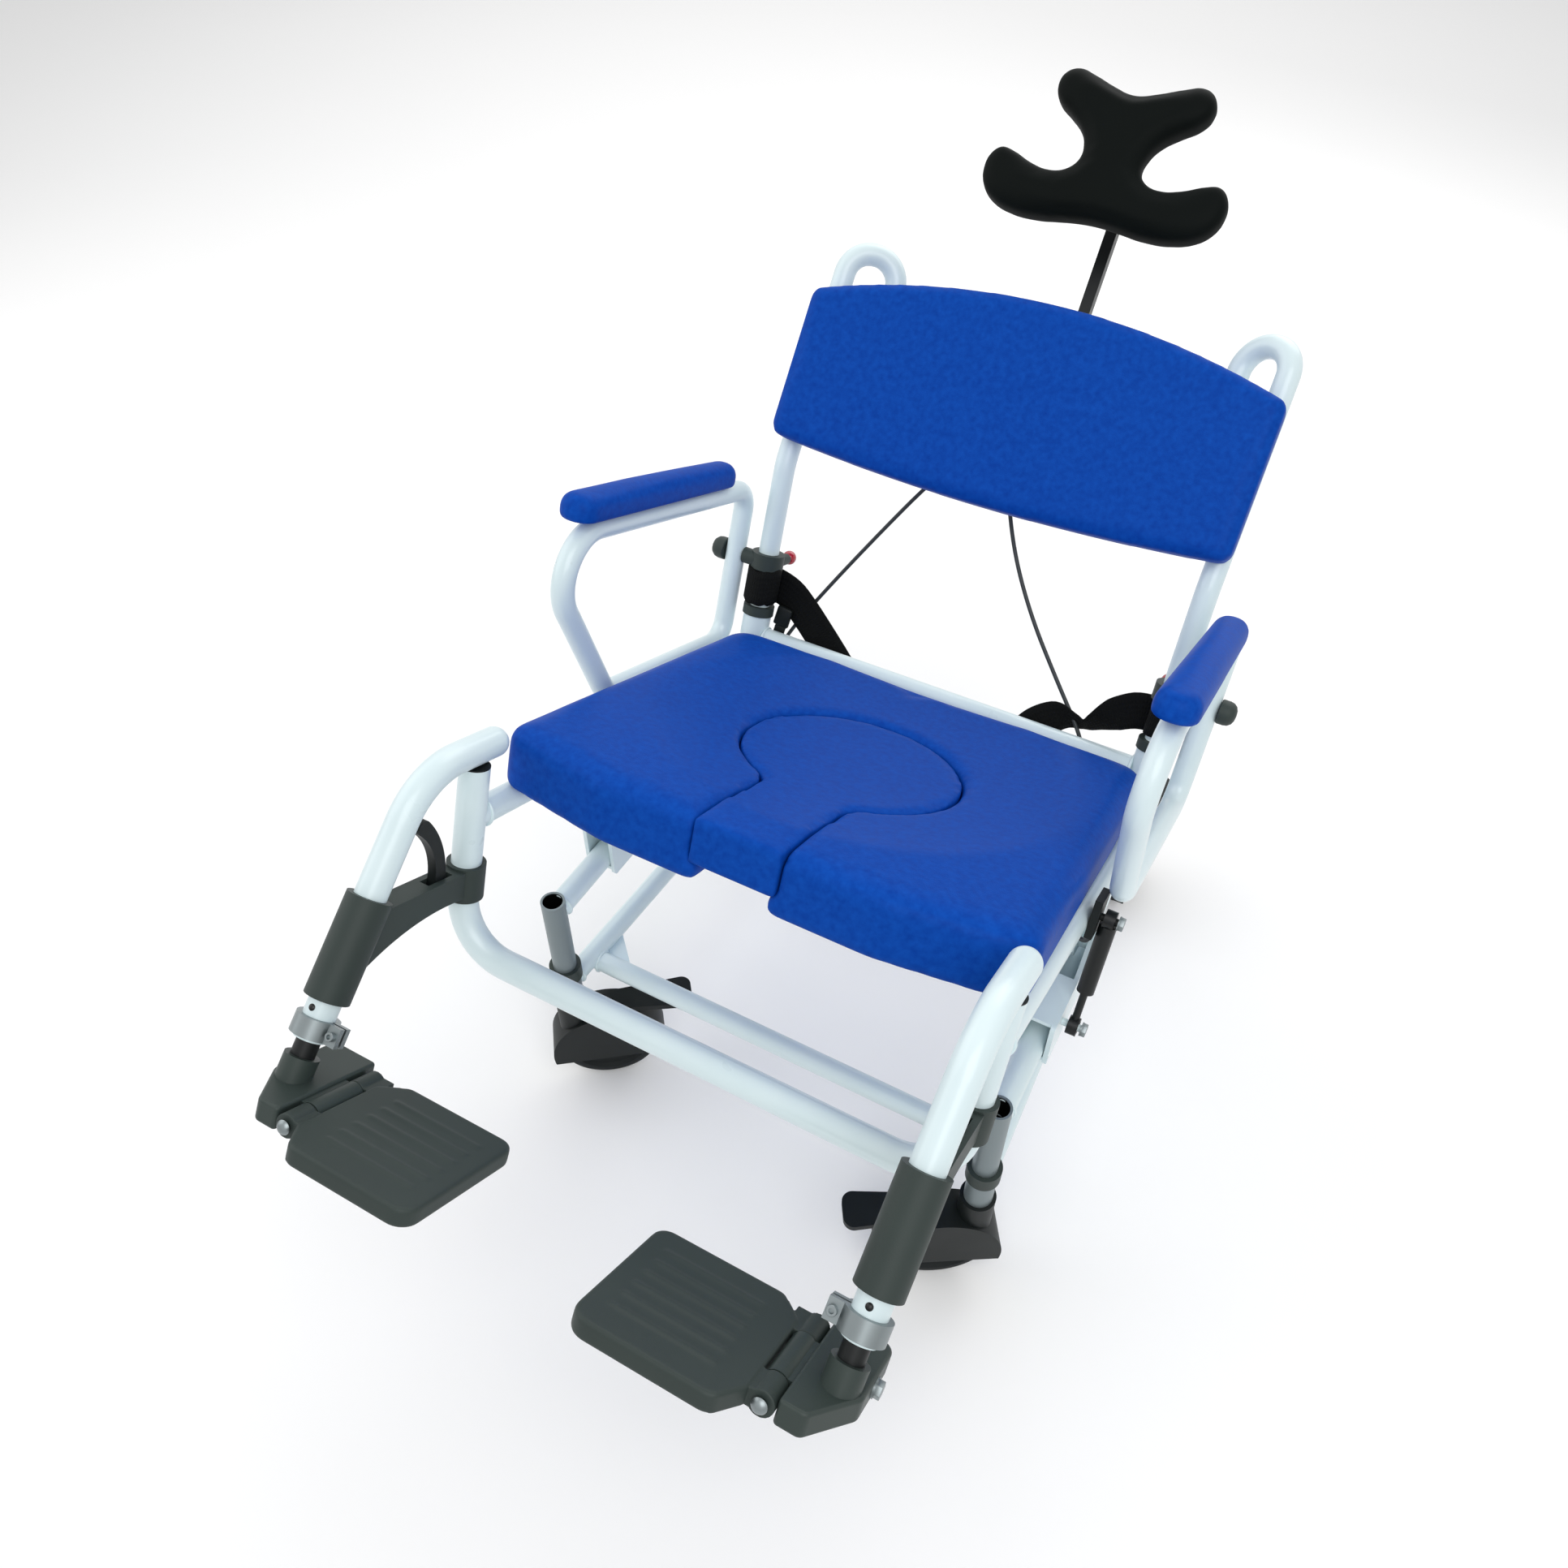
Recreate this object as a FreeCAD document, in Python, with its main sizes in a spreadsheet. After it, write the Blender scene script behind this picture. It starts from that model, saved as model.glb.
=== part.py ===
"""Tilting shower commode chair, real size, in millimetres.

X runs to the chair's left, Y to its rear and Z up. The origin is on the floor, in the middle of
the chair's length and width. The seat, back, armrests and leg rests are drawn level in a seat
frame, whose origin is on the seat's top above the front legs, and are then tilted back about the
tilt pivot to the angle at which the chair stands.
"""
import FreeCAD, Part
import math
import os
from FreeCAD import Placement, Rotation, Vector

X_AXIS = Vector(1, 0, 0)
Y_AXIS = Vector(0, 1, 0)
Z_AXIS = Vector(0, 0, 1)

SIZES = [
    # Tilt
    ("tilt_rest", 22.0), ("pivot_y", -26.1), ("pivot_z", 383.0),
    ("pivot_seat_y", 268.0), ("pivot_seat_z", -140.0), ("pivot_bolt_d", 12.0),
    ("bolt_head_wall", 4.0), ("bolt_head_height", 6.0),
    # Tubes and fits
    ("tube_main", 28.0), ("tube_low", 25.0), ("tube_seat", 30.0), ("tube_arm", 25.0), ("tube_back", 26.0),
    ("run_gap", 0.05), ("seat_gap", 0.3), ("plate_wall", 5.0), ("cut_over", 1.0), ("pin_stub", 3.0),
    # Base
    ("leg_x", 270.0), ("leg_front_y", -236.1), ("leg_rear_x", 246.0), ("leg_rear_y", 363.9),
    ("leg_top", 344.0), ("leg_bottom", 162.0), ("leg_bore", 23.0), ("leg_bore_depth", 110.0),
    ("leg_rear_top", 228.0), ("rail_high_z", 326.0), ("rail_knee_y", 35.9), ("rail_drop_y", 155.9),
    ("rail_bend", 60.0), ("rail_low_z", 190.0), ("cross_y", -186.1), ("cross_z", 182.0),
    ("collar_d", 38.0), ("collar_z", 206.0), ("collar_height", 20.0),
    ("gusset_side", 60.0), ("sleeve_wall", 2.0), ("channel_top", 372.0), ("channel_front", 31.0),
    ("channel_gap", 1.0), ("ear_round", 22.0), ("ear_blend", 20.0), ("channel_heel", 34.0),
    ("channel_heel_top", 45.0),
    # Casters
    ("wheel_d", 125.0), ("wheel_width", 32.0), ("caster_trail", 38.0), ("stem_d", 14.0),
    ("stem_length", 40.0), ("axle_d", 10.0), ("hood_wall", 5.0), ("hood_gap", 4.0), ("hood_side_gap", 2.0),
    ("hood_drop", 14.0), ("boss_wall", 6.0), ("hub_wall", 14.0), ("hub_slope", 3.0), ("web_recess", 5.0),
    ("tyre_depth", 16.0), ("tyre_slope", 4.0), ("tyre_round", 13.0),
    ("pedal_length", 52.0), ("pedal_width", 44.0), ("pedal_root", 8.0), ("pedal_taper", 8.0),
    ("pedal_lap", 14.0), ("pedal_thick", 8.0), ("pedal_root_round", 4.0), ("pedal_tip_round", 12.0),
    ("front_left_swivel", -148.0), ("front_right_swivel", 38.0), ("rear_swivel", 90.0),
    # Seat frame
    ("post_x", 270.0), ("post_y", -75.0), ("post_top", -27.0), ("front_bar_z", -228.0), ("front_bend", 58.0),
    ("rail_under", 1.0), ("upright_x", 262.0), ("upright_y", 474.0), ("rear_bar_z", -20.0),
    ("bar_lap", 3.0), ("socket_d", 36.0), ("socket_top", 10.0), ("socket_bottom", -112.0),
    ("socket_floor", 6.0), ("lug_half", 45.0), ("lug_foot", 19.0), ("lug_round", 17.0), ("lug_thick", 8.0),
    ("bush_wall", 5.0), ("plug_cap", 1.4), ("plug_reach", 4.0),
    # Seat and lid
    ("seat_half", 277.0), ("seat_half_rear", 268.0), ("seat_front", -53.0), ("seat_corner_y", -26.0),
    ("seat_rear", 440.0), ("seat_thick", 67.0), ("seat_edge", 17.0), ("front_share", 0.52),
    ("seat_front_round", 24.0), ("seat_bow_round", 120.0), ("seat_rear_round", 30.0),
    ("dish_depth", 17.0), ("dish_half", 235.0), ("dish_behind", 25.0),
    ("hole_y", 205.0), ("hole_radius", 120.0), ("neck_half", 46.0), ("neck_over", 40.0),
    ("lid_gap", 1.2), ("lid_thick", 30.0), ("lid_proud", 2.0), ("hole_over", 3.0), ("hole_under", 10.0),
    ("ledge", 9.0), ("neck_flare", 34.0),
    # Back
    ("back_lean", 17.0), ("back_bend_z", 205.0), ("handle_top", 452.0), ("handle_inset", 54.0),
    ("handle_back", 36.0), ("handle_bend", 31.0), ("back_bar_z", 330.0), ("back_bend", 80.0),
    ("top_collar_wall", 2.0), ("top_collar_height", 12.0),
    ("panel_half", 276.0), ("panel_low", 26.0), ("panel_high", 203.0), ("panel_crown", 38.0),
    ("panel_sag", 13.0), ("panel_thick", 34.0), ("panel_corner", 14.0), ("panel_edge", 7.0),
    # Headrest
    ("stem_y", 675.0), ("stem_z", 428.0), ("stem_side", 14.0), ("stem_low", 235.0), ("stem_high", 572.0),
    ("grip_wall", 8.0), ("head_clamp_length", 34.0), ("head_clamp_side", 30.0), ("link_step", 1.0),
    ("link_sink", 6.0), ("head_y", 625.0), ("head_z", 617.0), ("head_lean", 23.5), ("head_thick", 38.0),
    ("head_edge", 13.0), ("lobe_radius", 23.0), ("low_lobe_radius", 26.0), ("lobe_rise", 52.0),
    ("upper_lobe_x", 70.0), ("lower_lobe_x", 117.0), ("waist_half", 46.0), ("waist_rise", 12.0),
    ("notch_x", 54.0), ("notch_drop", -18.0), ("head_top", 46.0), ("head_foot", -92.0), ("head_ball", 18.0),
    # Armrests
    ("arm_x", 304.0), ("arm_rear_y", 466.0), ("arm_top_z", 163.0), ("arm_front_y", 30.0),
    ("arm_low_y", 195.0), ("arm_low_z", -38.0), ("arm_pivot_z", 81.0), ("arm_joint_half", 20.0),
    ("arm_front_bend", 52.0), ("arm_bend", 28.0), ("arm_pin_d", 10.0), ("arm_pin_root", 16.0),
    ("arm_pin_reach", 8.0), ("pad_front", 84.0), ("pad_rear", 408.0), ("pad_width", 43.0),
    ("pad_height", 28.0), ("pad_taper", 3.0), ("pad_front_round", 20.0), ("pad_rear_round", 18.0),
    ("pad_top_round", 15.0), ("pad_low_round", 6.0), ("arm_clamp_height", 20.0), ("arm_boss_d", 20.0),
    ("nub_d", 26.0), ("nub_reach", 9.0), ("knob_d", 18.0), ("plunger_d", 6.0), ("plunger_sink", 5.0),
    ("guide_d", 14.0), ("guide_in", 12.0), ("guide_root", 6.0), ("guide_stand", 4.0), ("guide_length", 12.0),
    # Leg rests
    ("hook_z", -10.0), ("hook_end_y", -50.0), ("hanger_corner_y", -149.0), ("hanger_slope", 60.0),
    ("hanger_bend", 80.0), ("hanger_length", 252.0), ("hook_pin_depth", 5.0), ("sleeve_start", 118.0),
    ("sleeve_end", 214.0), ("sleeve_d", 42.0), ("clamp_top", -132.0), ("clamp_bottom", -170.0),
    ("clamp_d", 39.0), ("arm_thick", 24.0), ("web_drop", 4.0), ("web_lift", 2.0), ("web_high", 14.0),
    ("web_low", 6.0), ("web_hollow", 95.0), ("web_hollow_rise", 8.0),
    ("lever_rise", 76.0), ("lever_ahead", 44.0), ("lever_thick", 10.0), ("slot_width", 11.0),
    ("slot_length", 34.0), ("slot_depth", 10.0),
    ("slider_d", 22.0), ("slider_start", 128.0), ("slider_end", 318.0), ("slider_room", 4.0),
    ("slider_sink", 12.0), ("ring_place", 240.0), ("ring_width", 18.0), ("ring_d", 40.0),
    ("ring_lug_length", 24.0), ("ring_lug_width", 14.0), ("ring_lug_reach", 31.0), ("ring_slit", 3.0),
    ("plate_in", 75.0), ("plate_out", 200.0), ("plate_hinge_x", 228.0), ("plate_rear", -229.0),
    ("plate_rear_z", -283.0), ("plate_depth", 145.0), ("plate_rise", 12.3), ("plate_thick", 18.0),
    ("plate_round", 3.0), ("plate_edge", 216.5), ("plate_rear_cut", 22.0), ("plate_front_cut", 28.0),
    ("hinge_pin_d", 8.0), ("hinge_pin_proud", 3.0), ("knuckle_d", 22.0), ("knuckle_web", 16.0),
    ("knuckle_lap", 8.0), ("neck_lap", 4.0), ("shoe_in", 239.5), ("shoe_out", 290.0), ("shoe_back", -5.0),
    ("shoe_front", 116.0), ("shoe_cut_x", 262.0), ("shoe_cut_y", 70.0), ("shoe_thick", 22.0),
    ("boss_d", 32.0), ("boss_start", 16.0), ("boss_sink", 14.0),
    ("tread_height", 1.0), ("tread_width", 4.0), ("tread_pitch", 17.0), ("tread_length", 92.0),
    ("tread_in", 20.0), ("tread_first", 27.0),
    # Gas struts
    ("strut_x", 302.0), ("strut_top_y", 200.0), ("strut_top_z", -74.0), ("strut_low_y", -114.1),
    ("strut_low_z", 350.0), ("strut_d", 18.0), ("strut_rod_d", 8.0), ("strut_body", 80.0),
    ("strut_pin_d", 8.0), ("strut_eye_d", 20.0), ("strut_eye_width", 11.0), ("strut_eye_slack", 2.6),
    ("strut_neck", 6.0), ("rod_bore_start", 16.0), ("rod_start", 50.0), ("block_drop", 20.0),
    ("block_depth", 34.0), ("block_room", 0.6),
    # Belt, cables and tilt lever
    ("strap_width", 44.0), ("strap_thick", 3.0), ("strap_z", 48.0), ("strap_lap", 2.0),
    ("strap_turn", 8.0), ("strap_corner", 2.0), ("cable_d", 5.0), ("cable_stand", 4.5),
    ("cable_rail_gap", 4.0), ("cable_start_z", 299.0), ("cable_block_gap", 4.0),
    ("lever_x", -36.0), ("lever_length", 90.0), ("lever_wall", 6.0), ("lever_grip", 30.0),
    ("lever_block_y", 22.0), ("lever_block_z", 26.0), ("lever_block_drop", 30.0), ("lever_pin_d", 8.0),
    ("lever_pin_y", 28.0), ("lever_ear", 5.0), ("lever_ear_y", 24.0), ("lever_ear_z", 14.0),
    ("lever_ear_start", 12.0), ("lever_hub_d", 15.0), ("lever_hub_half", 9.7), ("lever_blade_z", 6.0),
]

# Way points of each cable behind the seat, as X and Z of the seat frame.
CABLE_RUNS = {"left": [(-8, 262), (24, 180), (70, 108), (128, 40), (178, -14)],
              "right": [(-62, 262), (-96, 215), (-140, 142), (-186, 62), (-222, -6)]}
# Middle line of each strap's tail, as the distance out from the middle and Z of the seat frame.
STRAP_RUNS = {"left": [(260, 50), (186, 16), (140, 2), (112, -40), (104, -130)],
              "right": [(260, 50), (190, 20), (132, -22), (108, -70), (100, -130)]}
SIDES = {"left": 1, "right": -1}
TREADS = 6

doc = FreeCAD.newDocument("tilting_commode_chair")
sheet = doc.addObject("Spreadsheet::Sheet", "Sizes")
for row, (alias, size) in enumerate(SIZES, start=1):
    sheet.set(f"A{row}", alias)
    sheet.set(f"B{row}", str(size))
    sheet.setAlias(f"B{row}", alias)
doc.recompute()


class SheetValues:
    """Reads a driving dimension by its name."""

    def __getattr__(self, alias):
        return float(sheet.get(alias))


size = SheetValues()
NODES = []


def node(obj, label, placement=None):
    """Marks an object as one sub-part, with its label and place."""
    obj.Label = label
    if placement is not None:
        obj.Placement = placement
    NODES.append(obj)
    return obj


def bind(obj, **formulas):
    """Ties properties of an object to formulas over the sheet."""
    for prop, formula in formulas.items():
        obj.setExpression(prop, formula)
    return obj


def cylinder(name, radius, height, base, axis=Z_AXIS):
    """Round bar with formulas for radius and height, from a base point along an axis."""
    obj = bind(doc.addObject("Part::Cylinder", name), Radius=radius, Height=height)
    obj.Placement = Placement(base, Rotation(Z_AXIS, axis))
    return obj


def rod(name, radius, start, end):
    """Round bar between two points."""
    obj = bind(doc.addObject("Part::Cylinder", name), Radius=radius)
    obj.Height = (end - start).Length
    obj.Placement = Placement(start, Rotation(Z_AXIS, end - start))
    return obj


def box(name, length, width, height, corner, turn=None):
    """Block with formulas for its sides along X, Y and Z, from its low corner."""
    obj = bind(doc.addObject("Part::Box", name), Length=length, Width=width, Height=height)
    obj.Placement = Placement(corner, turn or Rotation())
    return obj


def sphere(name, radius, centre):
    """Ball about a centre."""
    obj = bind(doc.addObject("Part::Sphere", name), Radius=radius)
    obj.Placement = Placement(centre, Rotation())
    return obj


def fuse(name, shapes):
    """Joins shapes that are welded or moulded in one."""
    obj = doc.addObject("Part::MultiFuse", name)
    obj.Shapes = shapes
    obj.Refine = True
    return obj


def cut(name, base, tool):
    """Takes the tool away from the base."""
    obj = doc.addObject("Part::Cut", name)
    obj.Base = base
    obj.Tool = tool
    return obj


def group(name, shapes):
    """Keeps loose pieces of one kind together."""
    obj = doc.addObject("Part::Compound", name)
    obj.Links = shapes
    return obj


def mirrored(source, label):
    """The same piece on the chair's other side."""
    obj = doc.addObject("Part::Mirroring", label)
    obj.Source = source
    obj.Normal = X_AXIS
    obj.Base = Vector(0, 0, 0)
    return node(obj, label)


def bent_path(points, bends):
    """Straight runs joined by tangent arcs, one bend radius for each inner point."""
    edges = []
    start = points[0]
    for before, corner, after, bend in zip(points, points[1:], points[2:], bends):
        into = (corner - before).normalize()
        out = (after - corner).normalize()
        turn = into.getAngle(out)
        setback = bend * math.tan(turn / 2)
        first = corner - into * setback
        last = corner + out * setback
        middle = corner + (out - into).normalize() * bend * (1 / math.cos(turn / 2) - 1)
        edges.append(Part.LineSegment(start, first).toShape())
        edges.append(Part.Arc(first, middle, last).toShape())
        start = last
    edges.append(Part.LineSegment(start, points[-1]).toShape())
    return Part.Wire(edges)


def bent_tube(name, radius, points, bends):
    """Tube bent along a path."""
    path = doc.addObject("Part::Feature", name + "_path")
    path.Shape = bent_path(points, bends)
    ring = bind(doc.addObject("Part::Circle", name + "_section"), Radius=radius)
    ring.Placement = Placement(points[0], Rotation(Z_AXIS, points[1] - points[0]))
    tube = doc.addObject("Part::Sweep", name)
    tube.Sections = [ring]
    tube.Spine = (path, [f"Edge{i + 1}" for i in range(len(path.Shape.Edges))])
    tube.Solid = True
    tube.Frenet = False
    return tube


def rounded_outline(points, radii):
    """Closed outline of straight edges with rounded corners, as sketch geometry."""
    count = len(points)
    corners = []
    for i, (corner, bend) in enumerate(zip(points, radii)):
        into = (corner - points[i - 1]).normalize()
        out = (points[(i + 1) % count] - corner).normalize()
        turn = into.getAngle(out)
        setback = bend * math.tan(turn / 2)
        middle = corner + (out - into).normalize() * bend * (1 / math.cos(turn / 2) - 1) if bend else corner
        corners.append((corner - into * setback, middle, corner + out * setback, bend))
    outline = []
    for i, (first, middle, last, bend) in enumerate(corners):
        if bend:
            outline.append(Part.Arc(first, middle, last))
        following = corners[(i + 1) % count][0]
        if (following - last).Length > 1e-6:
            outline.append(Part.LineSegment(last, following))
    return outline


def sketch_on(body, name, plane, outline, offset=0.0):
    """Sketch with a closed outline on one of the body's own planes."""
    sketch = body.newObject("Sketcher::SketchObject", name)
    support = [f for f in body.Origin.OriginFeatures if f.Role == plane][0]
    sketch.AttachmentSupport = [(support, "")]
    sketch.MapMode = "FlatFace"
    sketch.AttachmentOffset = Placement(Vector(0, 0, offset), Rotation())
    sketch.addGeometry(outline, False)
    return sketch


def padded(name, plane, outline, length, offset=0.0):
    """Body made by padding an outline."""
    body = doc.addObject("PartDesign::Body", name)
    sketch = sketch_on(body, name + "_outline", plane, outline, offset)
    pad = body.newObject("PartDesign::Pad", name + "_pad")
    pad.Profile = sketch
    bind(pad, Length=length)
    doc.recompute()
    return body


def rounded(body, name, radius, choose):
    """Rounds the edges of a body that a test picks."""
    base = body.Tip
    edges = [f"Edge{i + 1}" for i, edge in enumerate(base.Shape.Edges) if choose(edge)]
    fillet = body.newObject("PartDesign::Fillet", name)
    fillet.Base = (base, edges)
    bind(fillet, Radius=radius)
    doc.recompute()
    return body


def level_edge(z):
    """Test for edges that lie at one height of their body."""
    return lambda edge: abs(edge.BoundBox.ZMin - z) < 0.01 and abs(edge.BoundBox.ZMax - z) < 0.01


TILT_TURN = Rotation(X_AXIS, -size.tilt_rest)
PIVOT_SEAT = Vector(0, size.pivot_seat_y, size.pivot_seat_z)
PIVOT = Vector(0, size.pivot_y, size.pivot_z)
TILT = Placement(PIVOT - TILT_TURN.multVec(PIVOT_SEAT), TILT_TURN)
TILT_BACK = TILT.inverse()
# The seat rails run just under the seat.
SEAT_RAIL_Z = -size.seat_thick - size.rail_under - size.tube_main / 2


def tilted(local):
    """Place in the seat frame, carried to where the tilted seat stands."""
    return TILT.multiply(local)


LEGS = {"front": ("leg_x", "leg_front_y", "leg_top"), "rear": ("leg_rear_x", "leg_rear_y", "leg_rear_top")}


def leg_foot(end, side):
    """Foot of a leg, over its caster."""
    x_name, y_name, _ = LEGS[end]
    return Vector(side * getattr(size, x_name), getattr(size, y_name), size.leg_bottom)


def leg(end, side):
    """Leg tube with the sleeve round its foot, and the bore for its caster's stem."""
    foot = leg_foot(end, side)
    name = f"leg_{end}_{side + 1}"
    tube = cylinder(name + "_tube", "Sizes.tube_main / 2", f"Sizes.{LEGS[end][2]} - Sizes.leg_bottom", foot)
    sleeve = cylinder(name + "_sleeve", "Sizes.tube_main / 2 + Sizes.sleeve_wall",
                      "Sizes.collar_z - Sizes.leg_bottom", foot)
    bore = cylinder(name + "_stem_bore", "Sizes.stem_d / 2 + Sizes.run_gap",
                    "Sizes.stem_length + Sizes.cut_over", foot)
    return fuse(name, [tube, sleeve]), bore


def base_frame():
    """Front legs with open tops, and the frame of rear legs, side rails, cross tube and gussets."""
    fronts, welded, cuts = [], [], []
    low = Z_AXIS * (size.rail_low_z - size.leg_bottom)
    for side in (1, -1):
        front = leg_foot("front", side)
        rear = leg_foot("rear", side)
        outside, stem_bore = leg("front", side)
        mouth = cylinder(f"leg_mouth_{side + 1}", "Sizes.leg_bore / 2", "Sizes.leg_bore_depth",
                         Vector(front.x, front.y, size.leg_top), -Z_AXIS)
        bores = fuse(f"front_leg_bores_{side + 1}", [stem_bore, mouth])
        fronts.append(cut(f"front_leg_{side + 1}", outside, bores))
        for name, radius, foot_z, top_z in (("tube", 0, size.collar_z, size.leg_top),
                                            ("sleeve", size.sleeve_wall, size.leg_bottom, size.collar_z)):
            cuts.append(cylinder(f"rail_mouth_{name}_{side + 1}",
                                 f"Sizes.tube_main / 2 + Sizes.run_gap + {radius}", f"{top_z - foot_z}",
                                 Vector(front.x, front.y, foot_z)))
        outside, stem_bore = leg("rear", side)
        welded.append(outside)
        cuts.append(stem_bore)
        welded.append(rod(f"rail_low_{side + 1}", "Sizes.tube_low / 2", front + low, rear + low))
        landing = front + (rear - front) * ((size.rail_drop_y - front.y) / (rear.y - front.y)) + low
        high = [Vector(front.x, front.y + size.leg_bore / 4, size.rail_high_z),
                Vector(front.x, size.rail_knee_y, size.rail_high_z), landing]
        welded.append(bent_tube(f"rail_high_{side + 1}", "Sizes.tube_main / 2", high, [size.rail_bend]))
        reach = size.gusset_side
        outline = [Vector(side * (size.leg_x - reach), size.cross_y, 0),
                   Vector(side * size.leg_x, size.cross_y, 0),
                   Vector(side * size.leg_x, size.cross_y + reach, 0)]
        welded.append(padded(f"gusset_{side + 1}", "XY_Plane", rounded_outline(outline, [0, 0, 0]),
                             "Sizes.plate_wall", size.cross_z - size.plate_wall / 2))
    welded.append(rod("cross_tube", "Sizes.tube_low / 2", Vector(-size.leg_x, size.cross_y, size.cross_z),
                      Vector(size.leg_x, size.cross_y, size.cross_z)))
    node(group("front_legs", fronts), "front_legs")
    node(cut("base_frame", fuse("base_welded", welded), fuse("base_cuts", cuts)), "base_frame")


def leg_collars():
    """Plastic rings on the legs."""
    rings = []
    for side in (1, -1):
        for end in LEGS:
            foot = leg_foot(end, side)
            foot.z = size.collar_z
            name = f"collar_{end}_{side + 1}"
            outer = cylinder(name + "_outer", "Sizes.collar_d / 2", "Sizes.collar_height", foot)
            inner = cylinder(name + "_inner", "Sizes.tube_main / 2 + Sizes.run_gap", "Sizes.collar_height",
                             foot)
            rings.append(cut(name, outer, inner))
    node(group("leg_collars", rings), "leg_collars")


def tilt_brackets():
    """Channel round the upper rail, with ears for the pivot bolt and the strut's low pin on its outside."""
    web = size.plate_wall
    low = size.rail_high_z - size.tube_main / 2
    front = size.strut_low_y - size.channel_front
    rear = size.pivot_y + size.channel_heel
    ear = size.ear_round
    roof_end = size.pivot_y - 2 * ear
    outline = rounded_outline(
        [Vector(front, low - web, 0), Vector(rear, low - web, 0),
         Vector(rear, low + size.channel_heel_top, 0), Vector(size.pivot_y + ear, size.pivot_z + ear, 0),
         Vector(size.pivot_y - ear, size.pivot_z + ear, 0), Vector(roof_end, size.channel_top, 0),
         Vector(front, size.channel_top, 0)],
        [web, web, size.ear_blend, size.ear_blend, size.ear_blend, 2 * web, web])
    half_gap = size.tube_main / 2 + size.channel_gap
    plates = []
    for name, offset in (("inner", size.leg_x - half_gap - web), ("outer", size.leg_x + half_gap)):
        plates.append(padded(f"bracket_{name}", "YZ_Plane", outline, "Sizes.plate_wall", offset))
    for name, end, height in (("floor", rear, low - web), ("roof", roof_end, size.channel_top - web)):
        plates.append(box(f"bracket_{name}", "Sizes.tube_main + 2 * Sizes.channel_gap",
                          f"{end - front - 2 * web}", "Sizes.plate_wall",
                          Vector(size.leg_x - half_gap, front + web, height)))
    pin_start = Vector(size.leg_x + half_gap + web - size.cut_over, size.strut_low_y, size.strut_low_z)
    pin_end = Vector(size.strut_x + size.strut_eye_width / 2 + size.pin_stub, pin_start.y, pin_start.z)
    plates.append(rod("strut_pin", "Sizes.strut_pin_d / 2", pin_start, pin_end))
    hole = cylinder("bracket_bore", "Sizes.pivot_bolt_d / 2 + Sizes.run_gap", "3 * Sizes.tube_main",
                    Vector(size.leg_x - 1.5 * size.tube_main, size.pivot_y, size.pivot_z), X_AXIS)
    left = node(cut("tilt_bracket_left", fuse("bracket_welded", plates), hole), "tilt_bracket_left")
    mirrored(left, "tilt_bracket_right")


def tilt_pivot_bolts():
    """The two bolts that the seat frame tilts on."""
    bolts = []
    half = size.tube_main / 2 + size.channel_gap + size.plate_wall
    for side in (1, -1):
        start = Vector(side * size.leg_x - half, size.pivot_y, size.pivot_z)
        shank = cylinder(f"bolt_shank_{side + 1}", "Sizes.pivot_bolt_d / 2",
                         "Sizes.tube_main + 2 * Sizes.channel_gap + 2 * Sizes.plate_wall", start, X_AXIS)
        heads = []
        for name, place, axis in (("low", start, -X_AXIS), ("high", start + X_AXIS * 2 * half, X_AXIS)):
            heads.append(cylinder(f"bolt_{name}_{side + 1}", "Sizes.pivot_bolt_d / 2 + Sizes.bolt_head_wall",
                                  "Sizes.bolt_head_height", place, axis))
        bolts.append(fuse(f"pivot_bolt_{side + 1}", [shank] + heads))
    node(group("tilt_pivot_bolts", bolts), "tilt_pivot_bolts")


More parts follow.
